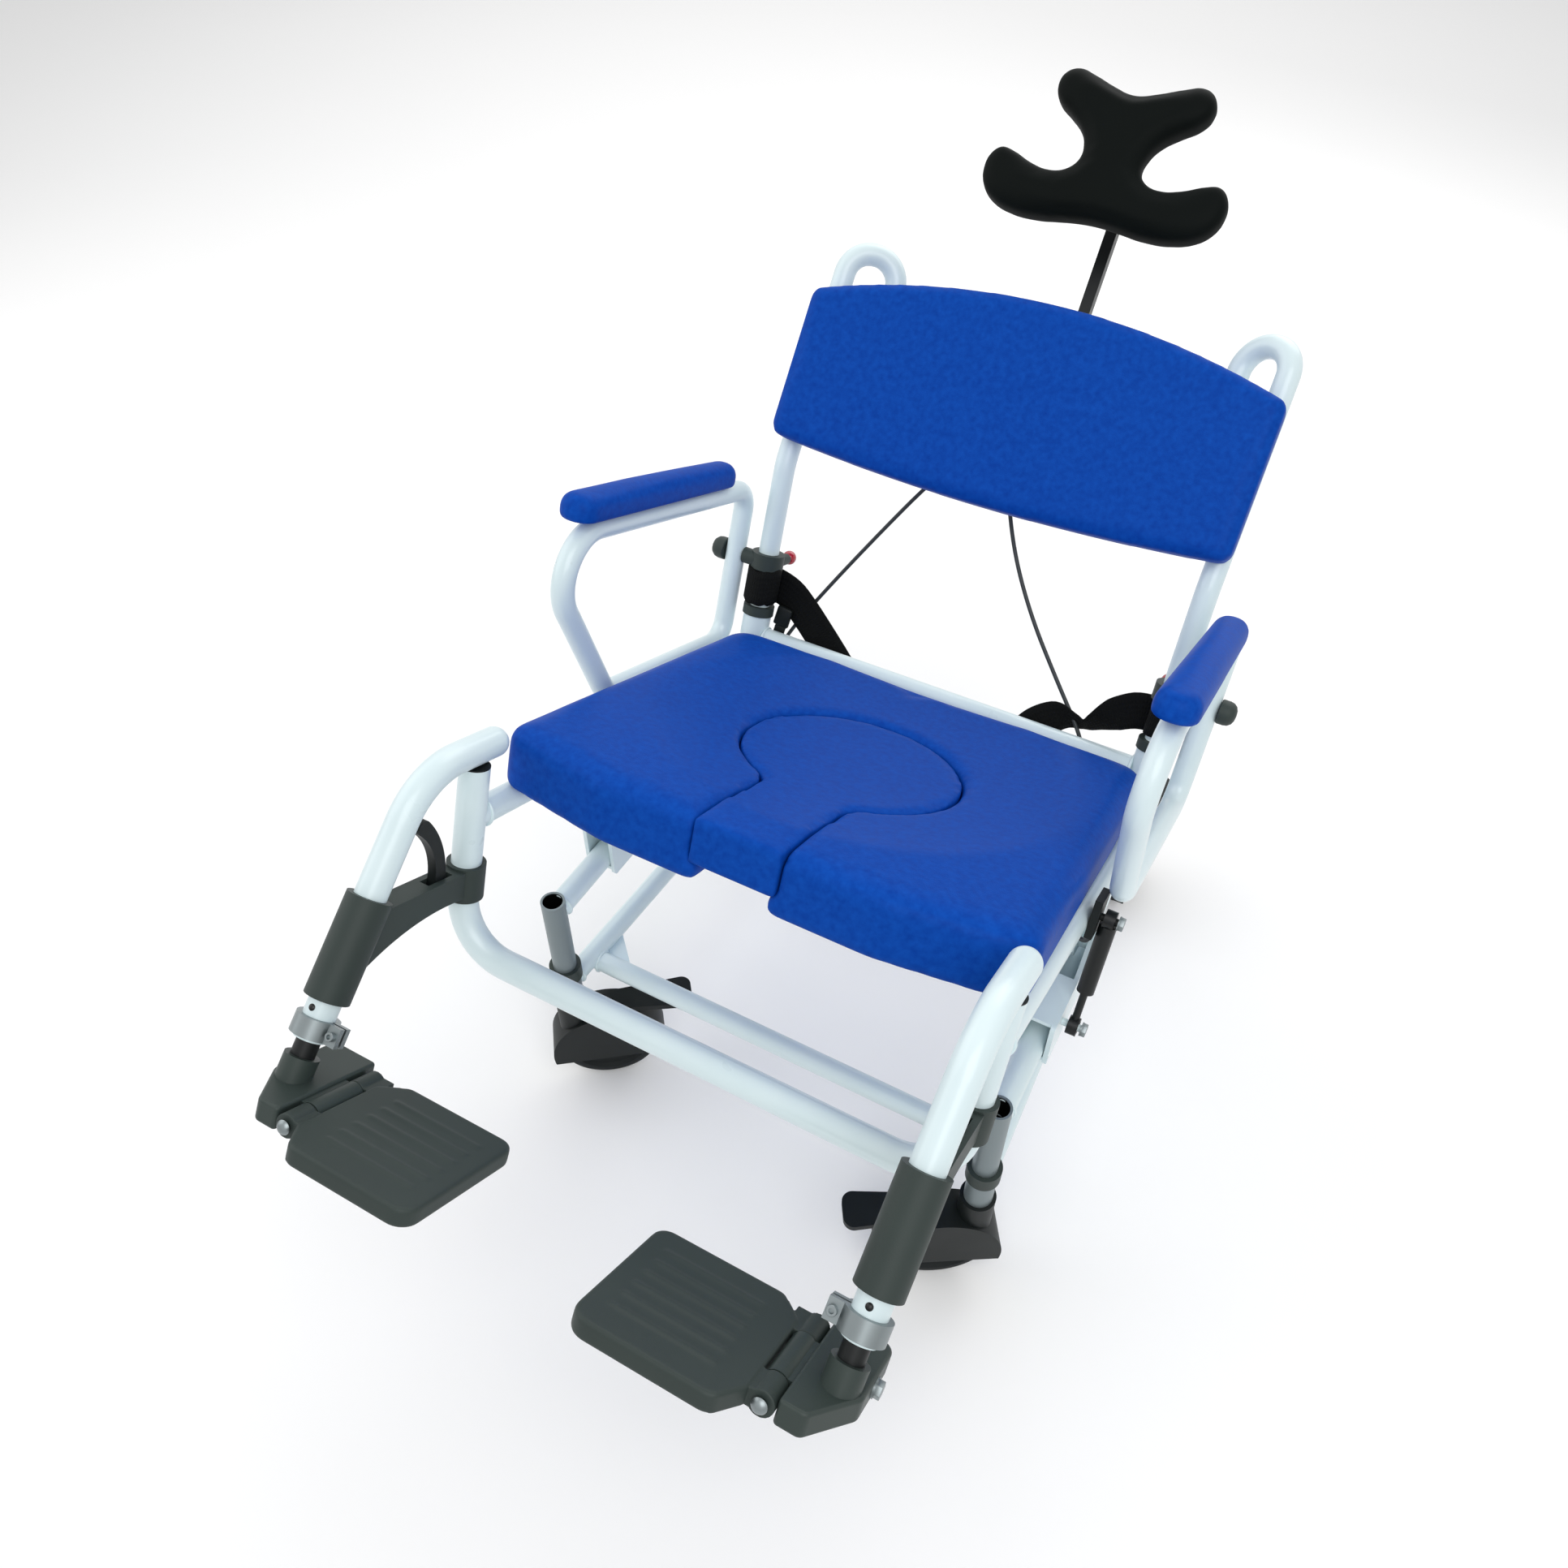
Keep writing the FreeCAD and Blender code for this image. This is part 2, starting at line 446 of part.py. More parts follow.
def caster(label, place):
    """Fork hood with its stem and axle, wheel and brake pedal, trailing along its own +X."""
    hub = Vector(size.caster_trail, 0, size.wheel_d / 2)
    hood_radius = size.wheel_d / 2 + size.hood_gap + size.hood_wall
    inside = size.wheel_width + 2 * size.hood_side_gap
    width = inside + 2 * size.hood_wall
    top = size.leg_bottom - size.seat_gap
    disc = cylinder(f"{label}_disc", f"{hood_radius}", f"{width}", hub - Y_AXIS * (width / 2), Y_AXIS)
    boss = cylinder(f"{label}_boss", "Sizes.tube_main / 2 + Sizes.boss_wall", f"{top - size.wheel_d / 2}",
                    Vector(0, 0, size.wheel_d / 2))
    low = box(f"{label}_below", f"{3 * hood_radius}", f"{2 * width}", f"{hood_radius}",
              Vector(hub.x - 1.5 * hood_radius, -width, hub.z - size.hood_drop - hood_radius))
    well = cylinder(f"{label}_well", "Sizes.wheel_d / 2 + Sizes.hood_gap", f"{inside}",
                    hub - Y_AXIS * (inside / 2), Y_AXIS)
    shell = cut(f"{label}_shell", fuse(f"{label}_solid", [disc, boss]), fuse(f"{label}_hollow", [low, well]))
    stem = cylinder(f"{label}_stem", "Sizes.stem_d / 2", "Sizes.stem_length", Vector(0, 0, top))
    axle = cylinder(f"{label}_axle", "Sizes.axle_d / 2", f"{width}", hub - Y_AXIS * (width / 2), Y_AXIS)
    node(fuse(f"caster_fork_{label}", [shell, stem, axle]), f"caster_fork_{label}", place)

    half = size.wheel_width / 2
    rim = size.wheel_d / 2
    bore = size.axle_d / 2 + size.run_gap
    hub_edge = bore + size.hub_wall
    tyre_edge = rim - size.tyre_depth
    recess = half - size.web_recess
    low_side = [Vector(bore, -half, 0), Vector(hub_edge, -half, 0),
                Vector(hub_edge + size.hub_slope, -recess, 0),
                Vector(tyre_edge - size.tyre_slope, -recess, 0), Vector(tyre_edge, -half, 0),
                Vector(rim, -half, 0)]
    high_side = [Vector(point.x, -point.y, 0) for point in reversed(low_side)]
    rounds = [0] * (len(low_side) - 1) + [size.tyre_round]
    profile = rounded_outline(low_side + high_side, rounds + rounds[::-1])
    wheel = doc.addObject("PartDesign::Body", f"wheel_{label}")
    sketch = sketch_on(wheel, f"wheel_{label}_section", "XY_Plane", profile)
    turned = wheel.newObject("PartDesign::Revolution", f"wheel_{label}_turned")
    turned.Profile = sketch
    turned.ReferenceAxis = (sketch, ["V_Axis"])
    turned.Angle = 360
    node(wheel, f"caster_wheel_{label}", place.multiply(Placement(hub, Rotation())))

    half_width = size.pedal_width / 2
    root = hub.x + size.pedal_root
    tip = hub.x + hood_radius + size.pedal_length - size.pedal_lap
    root_half = half_width - size.pedal_taper
    paddle = rounded_outline(
        [Vector(root, -root_half, 0), Vector(tip, -half_width, 0), Vector(tip, half_width, 0),
         Vector(root, root_half, 0)],
        [size.pedal_root_round, size.pedal_tip_round, size.pedal_tip_round, size.pedal_root_round])
    pedal_z = hub.z + hood_radius + size.seat_gap
    body = padded(f"pedal_{label}", "XY_Plane", paddle, "Sizes.pedal_thick", pedal_z)
    node(body, f"brake_pedal_{label}", place)


def casters():
    """The four casters, each turned about its stem."""
    for label, end, side, swivel in (("front_left", "front", 1, size.front_left_swivel),
                                     ("front_right", "front", -1, size.front_right_swivel),
                                     ("rear_left", "rear", 1, size.rear_swivel),
                                     ("rear_right", "rear", -1, size.rear_swivel)):
        foot = leg_foot(end, side)
        foot.z = 0
        caster(label, Placement(foot, Rotation(Z_AXIS, swivel)))


def seat_frame():
    """Front tube bent to a U, side rails, rear crossbar, sockets for the uprights and pivot lugs."""
    reach = Vector(size.post_x, size.post_y, 0)
    low = Vector(size.post_x, size.post_y, size.front_bar_z)
    points = [reach + Z_AXIS * size.post_top, low, Vector(-low.x, low.y, low.z),
              Vector(-reach.x, reach.y, size.post_top)]
    parts = [bent_tube("front_tube", "Sizes.tube_seat / 2", points, [size.front_bend] * 2)]
    bores = []
    for side in (1, -1):
        foot = Vector(side * size.upright_x, size.upright_y, size.socket_bottom)
        parts.append(cylinder(f"socket_{side + 1}", "Sizes.socket_d / 2",
                              "Sizes.socket_top - Sizes.socket_bottom", foot))
        bores.append(cylinder(f"socket_bore_{side + 1}", "Sizes.tube_back / 2 + Sizes.run_gap",
                              "Sizes.socket_top - Sizes.socket_bottom - Sizes.socket_floor",
                              foot + Z_AXIS * size.socket_floor))
        parts.append(rod(f"seat_rail_{side + 1}", "Sizes.tube_main / 2",
                         Vector(side * size.post_x, size.post_y, SEAT_RAIL_Z),
                         Vector(side * size.post_x, size.upright_y, SEAT_RAIL_Z)))
        lug_low = size.pivot_seat_z - size.lug_foot
        lug = rounded_outline(
            [Vector(size.pivot_seat_y - size.lug_half, SEAT_RAIL_Z, 0),
             Vector(size.pivot_seat_y - size.lug_foot, lug_low, 0),
             Vector(size.pivot_seat_y + size.lug_foot, lug_low, 0),
             Vector(size.pivot_seat_y + size.lug_half, SEAT_RAIL_Z, 0)],
            [0, size.lug_round, size.lug_round, 0])
        parts.append(padded(f"lug_{side + 1}", "YZ_Plane", lug, "Sizes.lug_thick",
                            side * size.leg_x - size.lug_thick / 2))
        length = size.tube_main + 2 * size.channel_gap - 2 * size.seat_gap
        start = Vector(side * size.leg_x - length / 2, size.pivot_seat_y, size.pivot_seat_z)
        parts.append(cylinder(f"bush_{side + 1}", "Sizes.pivot_bolt_d / 2 + Sizes.bush_wall", f"{length}",
                              start, X_AXIS))
        bores.append(cylinder(f"bush_bore_{side + 1}", "Sizes.pivot_bolt_d / 2 + Sizes.run_gap", f"{length}",
                              start, X_AXIS))
    inside = size.upright_x - size.tube_back / 2 - size.bar_lap
    parts.append(rod("rear_bar", "Sizes.tube_main / 2", Vector(-inside, size.upright_y, size.rear_bar_z),
                     Vector(inside, size.upright_y, size.rear_bar_z)))
    welded = fuse("seat_frame_welded", parts)
    node(cut("seat_frame", welded, fuse("seat_frame_bores", bores)), "seat_frame", TILT)


def post_plugs():
    """Plugs on the posts, whose pins the leg rests hang on."""
    plugs = []
    for side in (1, -1):
        foot = Vector(side * size.post_x, size.post_y, size.post_top)
        cap = cylinder(f"plug_cap_{side + 1}", "Sizes.tube_seat / 2", "Sizes.plug_cap", foot)
        pin = cylinder(f"plug_pin_{side + 1}", "Sizes.arm_pin_d / 2",
                       "Sizes.hook_z - Sizes.post_top + Sizes.plug_reach", foot)
        plugs.append(fuse(f"post_plug_{side + 1}", [cap, pin]))
    node(group("post_plugs", plugs), "post_plugs", TILT)


def keyhole(gap):
    """Outline of the opening: a circle with a flared neck to the front, drawn in by a gap."""
    radius = size.hole_radius - gap
    neck = size.neck_half - gap
    front = size.seat_front - size.neck_over
    flare = size.neck_flare + gap
    rise = math.sqrt((radius + flare) ** 2 - (neck + flare) ** 2)
    flare_y = size.hole_y - rise
    share = radius / (radius + flare)
    touch = Vector((neck + flare) * share, size.hole_y - rise * share, 0)
    slope = Vector(-(neck + flare), rise, 0).normalize()
    bisect = (Vector(-1, 0, 0) + slope).normalize() * flare
    bend = Vector(neck + flare, flare_y, 0) + bisect
    corner = Vector(neck, flare_y, 0)

    def left(point):
        return Vector(-point.x, point.y, 0)

    return [Part.LineSegment(Vector(-neck, front, 0), Vector(neck, front, 0)),
            Part.LineSegment(Vector(neck, front, 0), corner),
            Part.Arc(corner, bend, touch),
            Part.Arc(touch, Vector(radius, size.hole_y, 0), Vector(0, size.hole_y + radius, 0)),
            Part.Arc(Vector(0, size.hole_y + radius, 0), Vector(-radius, size.hole_y, 0), left(touch)),
            Part.Arc(left(touch), left(bend), left(corner)),
            Part.LineSegment(left(corner), Vector(-neck, front, 0))]


def seat_outline():
    """Plan of the seat: bowed front, sides that narrow to the rear."""
    half = size.seat_half
    rear = size.seat_half_rear
    front = size.seat_front
    return rounded_outline(
        [Vector(-half, size.seat_corner_y, 0), Vector(-half * size.front_share, front, 0),
         Vector(half * size.front_share, front, 0), Vector(half, size.seat_corner_y, 0),
         Vector(rear, size.seat_rear, 0), Vector(-rear, size.seat_rear, 0)],
        [size.seat_front_round, size.seat_bow_round, size.seat_bow_round, size.seat_front_round,
         size.seat_rear_round, size.seat_rear_round])


def dish(name):
    """Ball whose low cap presses the seat's shallow dish."""
    radius = (size.dish_half ** 2 + size.dish_depth ** 2) / (2 * size.dish_depth)
    return sphere(name, f"{radius}", Vector(0, size.hole_y + size.dish_behind, radius - size.dish_depth))


def seat_pad():
    """Moulded seat with rounded edges, a shallow dish and the keyhole with a ledge for the lid."""
    block = padded("seat_block", "XY_Plane", seat_outline(), "Sizes.seat_thick", -size.seat_thick)
    rounded(block, "seat_top_edge", "Sizes.seat_edge", level_edge(0))
    rounded(block, "seat_low_edge", "Sizes.seat_edge / 2", level_edge(-size.seat_thick))
    upper = padded("seat_hole", "XY_Plane", keyhole(0),
                   "Sizes.lid_thick + Sizes.dish_depth + Sizes.hole_over", -size.lid_thick - size.dish_depth)
    lower = padded("seat_hole_low", "XY_Plane", keyhole(size.ledge), "Sizes.seat_thick",
                   -size.seat_thick - size.hole_under)
    tools = fuse("seat_cuts", [dish("seat_dish"), upper, lower])
    node(cut("seat_pad", block, tools), "seat_pad", TILT)


def seat_lid():
    """Lid that fills the keyhole, seated on the ledge."""
    plug = padded("lid_block", "XY_Plane", keyhole(size.lid_gap),
                  "Sizes.lid_thick + Sizes.dish_depth - Sizes.seat_gap",
                  -size.lid_thick - size.dish_depth + size.seat_gap)
    front = box("lid_front", "4 * Sizes.hole_radius", "2 * Sizes.neck_over", "3 * Sizes.seat_thick",
                Vector(-2 * size.hole_radius, size.seat_front - size.lid_proud - 2 * size.neck_over,
                       -2 * size.seat_thick))
    tools = fuse("lid_cuts", [dish("lid_dish"), front])
    node(cut("seat_lid", plug, tools), "seat_lid", TILT)


def lean_point(z):
    """Y of an upright at a height above its bend."""
    return size.upright_y + (z - size.back_bend_z) * math.tan(math.radians(size.back_lean))


def back_frame():
    """Uprights, push-handle loops and the bar between them: one tube."""
    top = size.handle_top
    x_in = size.upright_x - size.handle_inset
    bar_y = lean_point(size.back_bar_z) + size.handle_back
    half = [Vector(size.upright_x, size.upright_y, size.socket_bottom + size.socket_floor + size.seat_gap),
            Vector(size.upright_x, size.upright_y, size.back_bend_z),
            Vector(size.upright_x, lean_point(top), top),
            Vector(x_in, lean_point(top) + size.handle_back, top),
            Vector(x_in, bar_y, size.back_bar_z)]
    bends = [size.back_bend, size.handle_bend, size.handle_bend, size.handle_bend]
    points = half + [Vector(-p.x, p.y, p.z) for p in reversed(half)]
    node(bent_tube("back_frame", "Sizes.tube_back / 2", points, bends + bends[::-1]), "back_frame", TILT)


def upright_collars():
    """Plastic collars where the uprights enter their sockets."""
    rings = []
    for side in (1, -1):
        foot = Vector(side * size.upright_x, size.upright_y, size.socket_top)
        outer = cylinder(f"top_collar_outer_{side + 1}", "Sizes.socket_d / 2 + Sizes.top_collar_wall",
                         "Sizes.top_collar_height", foot)
        inner = cylinder(f"top_collar_inner_{side + 1}", "Sizes.tube_back / 2 + Sizes.run_gap",
                         "Sizes.top_collar_height", foot)
        rings.append(cut(f"top_collar_{side + 1}", outer, inner))
    node(group("upright_collars", rings), "upright_collars", TILT)


def back_panel():
    """Moulded back with an arched top and a slightly bowed foot, on the front of the uprights."""
    half = size.panel_half
    low = size.panel_low
    high = size.panel_high
    outline = rounded_outline([Vector(-half, low, 0), Vector(half, low, 0), Vector(half, high, 0),
                               Vector(-half, high, 0)], [size.panel_corner] * 4)
    arched = []
    for edge in outline:
        start, end = edge.StartPoint, edge.EndPoint
        if isinstance(edge, Part.LineSegment) and abs(start.y - end.y) < 1e-6:
            bow = size.panel_crown if start.y > (low + high) / 2 else -size.panel_sag
            edge = Part.Arc(start, Vector(0, start.y + bow, 0), end)
        arched.append(edge)
    body = padded("back_panel", "XY_Plane", arched, "Sizes.panel_thick", 0)
    rounded(body, "panel_front_edge", "Sizes.panel_edge", level_edge(size.panel_thick))
    rounded(body, "panel_rear_edge", "Sizes.panel_edge / 2", level_edge(0))
    stand = Rotation(X_AXIS, 90 - size.back_lean)
    seat_place = Vector(0, size.upright_y, size.back_bend_z)
    rear = size.tube_back / 2 + size.seat_gap
    local = Placement(seat_place, stand).multiply(Placement(Vector(0, 0, rear), Rotation()))
    node(body, "back_panel", tilted(local))


def stem_point(z):
    """Point on the headrest stem's line at a height of the seat frame."""
    return Vector(0, size.stem_y + (z - size.stem_z) * math.tan(math.radians(size.back_lean)), z)


def headrest():
    """Clamp on the back frame's bar, square stem with its ball arm and the four-lobed pad."""
    bar = Vector(0, lean_point(size.back_bar_z) + size.handle_back, size.back_bar_z)
    low = stem_point(size.back_bar_z)
    wide = size.head_clamp_length
    side = size.head_clamp_side
    ring = cylinder("head_clamp_ring", "Sizes.tube_back / 2 + Sizes.grip_wall", "Sizes.head_clamp_length",
                    bar - X_AXIS * (wide / 2), X_AXIS)
    arm = box("head_clamp_arm", "Sizes.head_clamp_side", f"{low.y - bar.y + size.stem_side}",
              "Sizes.head_clamp_side", bar + Vector(-side / 2, 0, -side / 2))
    bar_hole = cylinder("head_clamp_bore", "Sizes.tube_back / 2 + Sizes.run_gap",
                        "2 * Sizes.head_clamp_length", bar - X_AXIS * wide, X_AXIS)
    start = stem_point(size.stem_low)
    top = stem_point(size.stem_high)
    turn = Rotation(X_AXIS, -size.back_lean)

    def bar_box(name, margin, foot, length):
        half = size.stem_side / 2 + margin
        corner = foot + turn.multVec(Vector(-half, -half, 0))
        return box(name, f"Sizes.stem_side + {2 * margin}", f"Sizes.stem_side + {2 * margin}", f"{length}",
                   corner, turn)

    reach = (top - start).Length
    slot = bar_box("head_clamp_slot", size.run_gap, start - (top - start), 3 * reach)
    gripped = fuse("head_clamp_body", [ring, arm])
    node(cut("headrest_clamp", gripped, fuse("head_clamp_cuts", [bar_hole, slot])), "headrest_clamp", TILT)
    ball = head_place().multVec(Vector(0, 0, -size.head_thick / 2 - size.head_ball / 4))
    stem = bar_box("head_stem_bar", 0, start, reach)
    link = rod("head_link", "Sizes.stem_side / 2 - Sizes.link_step", top - Z_AXIS * size.link_sink, ball)
    joint = sphere("head_ball_end", "Sizes.head_ball / 2", ball)
    node(fuse("headrest_stem", [stem, link, joint]), "headrest_stem", TILT)

    body = padded("head_pad", "XY_Plane", butterfly(), "Sizes.head_thick", -size.head_thick / 2)
    rounded(body, "head_front_edge", "Sizes.head_edge", level_edge(size.head_thick / 2))
    rounded(body, "head_rear_edge", "Sizes.head_edge", level_edge(-size.head_thick / 2))
    body.Placement = head_place()
    socket = sphere("head_socket", "Sizes.head_ball / 2 + Sizes.seat_gap", ball)
    node(cut("headrest_pad", body, socket), "headrest_pad", TILT)


def head_place():
    """Middle of the headrest pad: its own Z points at the neck, its own Y up."""
    return Placement(Vector(0, size.head_y, size.head_z), Rotation(X_AXIS, 90 - size.head_lean))


def butterfly():
    """Outline of the headrest: two small lobes above, two wide ones below, with a notch at each side."""
    upper_from, upper_middle, upper_to = 128, 26, -75
    lower_from, lower_middle, lower_to = 100, 8, -84
    upper = Vector(size.upper_lobe_x, size.lobe_rise, 0)
    lower = Vector(size.lower_lobe_x, -size.lobe_rise, 0)

    def on_lobe(centre, radius, angle):
        turn = math.radians(angle)
        return centre + Vector(math.cos(turn), math.sin(turn), 0) * radius

    high = on_lobe(upper, size.lobe_radius, upper_from)
    neck = on_lobe(upper, size.lobe_radius, upper_to)
    notch = Vector(size.notch_x, size.notch_drop, 0)
    shoulder = on_lobe(lower, size.low_lobe_radius, lower_from)
    low = on_lobe(lower, size.low_lobe_radius, lower_to)
    saddle = (notch + shoulder) * 0.5 - Vector(0, size.lobe_radius / 3, 0)
    arcs = [(high, on_lobe(upper, size.lobe_radius, upper_middle), neck),
            (neck, Vector(size.waist_half, size.waist_rise, 0), notch),
            (notch, saddle, shoulder),
            (shoulder, on_lobe(lower, size.low_lobe_radius, lower_middle), low)]
    outline = []
    for sign in (1, -1):
        outline += [Part.Arc(*(Vector(sign * p.x, p.y, 0) for p in arc)) for arc in arcs]
    outline.append(Part.Arc(Vector(-high.x, high.y, 0), Vector(0, size.head_top, 0), high))
    outline.append(Part.Arc(Vector(-low.x, low.y, 0), Vector(0, size.head_foot, 0), low))
    return outline


def armrests():
    """Tube loop that swings up, its pad, the bracket it swings on and the red-knobbed plunger."""
    x = size.arm_x
    rear_y = size.arm_rear_y
    pivot = Vector(x, rear_y, size.arm_pivot_z)
    start = pivot + Z_AXIS * size.arm_joint_half
    end = pivot - Z_AXIS * size.arm_joint_half
    points = [start, Vector(x, rear_y, size.arm_top_z), Vector(x, size.arm_front_y, size.arm_top_z),
              Vector(x, size.arm_low_y, size.arm_low_z), Vector(x, rear_y, size.arm_low_z), end]
    bends = [size.arm_bend, size.arm_front_bend, size.arm_bend, size.arm_bend]
    loop = bent_tube("arm_loop", "Sizes.tube_arm / 2", points, bends)
    joint = rod("arm_loop_joint", "Sizes.tube_arm / 2", end, start)
    hole = cylinder("arm_bore", "Sizes.arm_pin_d / 2 + Sizes.run_gap", "2 * Sizes.tube_arm",
                    pivot - X_AXIS * size.tube_arm, X_AXIS)
    left = node(cut("arm_tube_left", fuse("arm_welded", [loop, joint]), hole), "arm_tube_left", TILT)
    mirrored(left, "arm_tube_right")

    half = size.pad_width / 2
    half_rear = half - size.pad_taper
    corners = [Vector(x - half, size.pad_front, 0), Vector(x + half, size.pad_front, 0),
               Vector(x + half_rear, size.pad_rear, 0), Vector(x - half_rear, size.pad_rear, 0)]
    outline = rounded_outline(corners, [size.pad_front_round] * 2 + [size.pad_rear_round] * 2)
    pad_low = size.arm_top_z + size.tube_arm / 2 + size.seat_gap
    body = padded("arm_pad_left", "XY_Plane", outline, "Sizes.pad_height", pad_low)
    rounded(body, "arm_pad_top", "Sizes.pad_top_round", level_edge(pad_low + size.pad_height))
    rounded(body, "arm_pad_foot", "Sizes.pad_low_round", level_edge(pad_low))
    mirrored(node(body, "arm_pad_left", TILT), "arm_pad_right")

    upright = Vector(size.upright_x, size.upright_y, size.arm_pivot_z)
    tall = size.arm_clamp_height
    outer = x + size.tube_arm / 2
    ring = cylinder("arm_clamp", "Sizes.tube_back / 2 + Sizes.grip_wall", "Sizes.arm_clamp_height",
                    upright - Z_AXIS * (tall / 2))
    boss = rod("arm_boss", "Sizes.arm_boss_d / 2", Vector(upright.x, rear_y, pivot.z),
               Vector(x - size.tube_arm / 2 - size.seat_gap, rear_y, pivot.z))
    pin = rod("arm_pin", "Sizes.arm_pin_d / 2", Vector(upright.x + size.arm_pin_root, rear_y, pivot.z),
              Vector(outer + size.arm_pin_reach, rear_y, pivot.z))
    nub = rod("arm_nub", "Sizes.nub_d / 2", Vector(outer + size.seat_gap, rear_y, pivot.z),
              Vector(outer + size.nub_reach, rear_y, pivot.z))
    guide_y = upright.y + size.tube_back / 2 + size.guide_stand
    guide_start = Vector(upright.x - size.guide_in, guide_y, pivot.z)
    guide_end = guide_start + Y_AXIS * size.guide_length
    guide = rod("plunger_guide", "Sizes.guide_d / 2",
                Vector(guide_start.x, upright.y + size.guide_root, pivot.z), guide_end)
    bore = cylinder("arm_clamp_bore", "Sizes.tube_back / 2 + Sizes.run_gap", "2 * Sizes.arm_clamp_height",
                    upright - Z_AXIS * tall)
    guide_bore = rod("plunger_bore", "Sizes.plunger_d / 2 + Sizes.run_gap",
                     guide_start - Y_AXIS * (size.plunger_sink + size.cut_over),
                     guide_end + Y_AXIS * size.guide_length)
    bracket = cut("arm_bracket_left", fuse("arm_bracket_body", [ring, boss, pin, nub, guide]),
                  fuse("arm_bracket_bores", [bore, guide_bore]))
    mirrored(node(bracket, "arm_bracket_left", TILT), "arm_bracket_right")

    shaft = rod("plunger_shaft", "Sizes.plunger_d / 2", guide_start - Y_AXIS * size.plunger_sink,
                guide_end + Y_AXIS * (size.knob_d / 3))
    knob = sphere("plunger_knob", "Sizes.knob_d / 2",
                  guide_end + Y_AXIS * (size.knob_d / 2 + 2 * size.seat_gap))
    mirrored(node(fuse("arm_plunger_left", [shaft, knob]), "arm_plunger_left", TILT), "arm_plunger_right")


def hanger_point(along, out=0.0):
    """Point on the hanger's sloping run, at a distance from its corner and out from its axis."""
    slope = math.radians(size.hanger_slope)
    down = Vector(0, -math.cos(slope), -math.sin(slope))
    ahead = Vector(0, -math.sin(slope), math.cos(slope))
    corner = Vector(size.post_x, size.hanger_corner_y, size.hook_z)
    return corner + down * along + ahead * out


def leg_rests():
    """Hanger tube, moulded bracket that clips to the post, release lever, clamp ring and footplate."""
    x = size.post_x
    hook = Vector(x, size.hook_end_y, size.hook_z)
    tube = bent_tube("hanger_tube", "Sizes.tube_seat / 2",
                     [hook, hanger_point(0), hanger_point(size.hanger_length)], [size.hanger_bend])
    cap = sphere("hanger_cap", "Sizes.tube_seat / 2", hook)
    bore = rod("hanger_bore", "Sizes.slider_d / 2 + Sizes.run_gap",
               hanger_point(size.slider_start - size.slider_room),
               hanger_point(size.hanger_length + size.cut_over))
    pin_hole = cylinder("hanger_pin_bore", "Sizes.arm_pin_d / 2 + Sizes.run_gap",
                        "Sizes.tube_seat / 2 + Sizes.hook_pin_depth + Sizes.cut_over",
                        Vector(x, size.post_y, size.hook_z - size.tube_seat / 2 - size.cut_over))
    hanger = cut("hanger_left", fuse("hanger_body", [tube, cap]), fuse("hanger_bores", [bore, pin_hole]))
    mirrored(node(hanger, "hanger_left", TILT), "hanger_right")

    sleeve = rod("sleeve", "Sizes.sleeve_d / 2", hanger_point(size.sleeve_start),
                 hanger_point(size.sleeve_end))
    clamp = cylinder("post_clamp", "Sizes.clamp_d / 2", "Sizes.clamp_top - Sizes.clamp_bottom",
                     Vector(x, size.post_y, size.clamp_bottom))
    low = hanger_point(size.sleeve_end - size.web_low)
    high = hanger_point(size.sleeve_start + size.web_high)
    web_top = size.clamp_top - size.web_drop
    corners = [Vector(size.post_y, web_top, 0), Vector(high.y, high.z, 0), Vector(low.y, low.z, 0),
               Vector(size.post_y, size.clamp_bottom + size.web_lift, 0)]
    hollow = Vector(size.post_y - size.web_hollow, size.clamp_bottom + size.web_hollow_rise, 0)
    web = [Part.LineSegment(corners[0], corners[1]), Part.LineSegment(corners[1], corners[2]),
           Part.Arc(corners[2], hollow, corners[3]), Part.LineSegment(corners[3], corners[0])]
    arm = padded("bracket_arm", "YZ_Plane", web, "Sizes.arm_thick", x - size.arm_thick / 2)
    sleeve_bore = rod("sleeve_bore", "Sizes.tube_seat / 2 + Sizes.run_gap",
                      hanger_point(size.sleeve_start - size.tube_seat),
                      hanger_point(size.sleeve_end + size.tube_seat))
    clamp_height = size.clamp_top - size.clamp_bottom
    post_bore = cylinder("post_bore", "Sizes.tube_seat / 2 + Sizes.run_gap", f"{3 * clamp_height}",
                         Vector(x, size.post_y, size.clamp_bottom - clamp_height))
    lever_foot = Vector(x, size.post_y - size.lever_ahead, web_top)
    slot = box("lever_slot", "Sizes.slot_width", "Sizes.slot_length", "4 * Sizes.slot_depth",
               lever_foot - Vector(size.slot_width / 2, size.slot_length / 2, size.slot_depth))
    bracket = cut("hanger_bracket_left", fuse("bracket_body", [sleeve, clamp, arm]),
                  fuse("bracket_bores", [sleeve_bore, post_bore, slot]))
    mirrored(node(bracket, "hanger_bracket_left", TILT), "hanger_bracket_right")

    foot = Vector(lever_foot.y, lever_foot.z, 0)
    tip = foot + Y_AXIS * size.lever_rise
    front_low, front_bow = foot + Vector(7, -8, 0), foot + Vector(3, 32, 0)
    front_high = tip + Vector(-22, 0, 0)
    end_bow, rear_high = tip + Vector(-32, 1, 0), tip + Vector(-34, -10, 0)
    rear_bow, rear_low = foot + Vector(-10, 30, 0), foot + Vector(-9, -8, 0)
    lever = [Part.Arc(front_low, front_bow, front_high), Part.Arc(front_high, end_bow, rear_high),
             Part.Arc(rear_high, rear_bow, rear_low), Part.LineSegment(rear_low, front_low)]
    body = padded("hanger_lever_left", "YZ_Plane", lever, "Sizes.lever_thick", x - size.lever_thick / 2)
    mirrored(node(body, "hanger_lever_left", TILT), "hanger_lever_right")

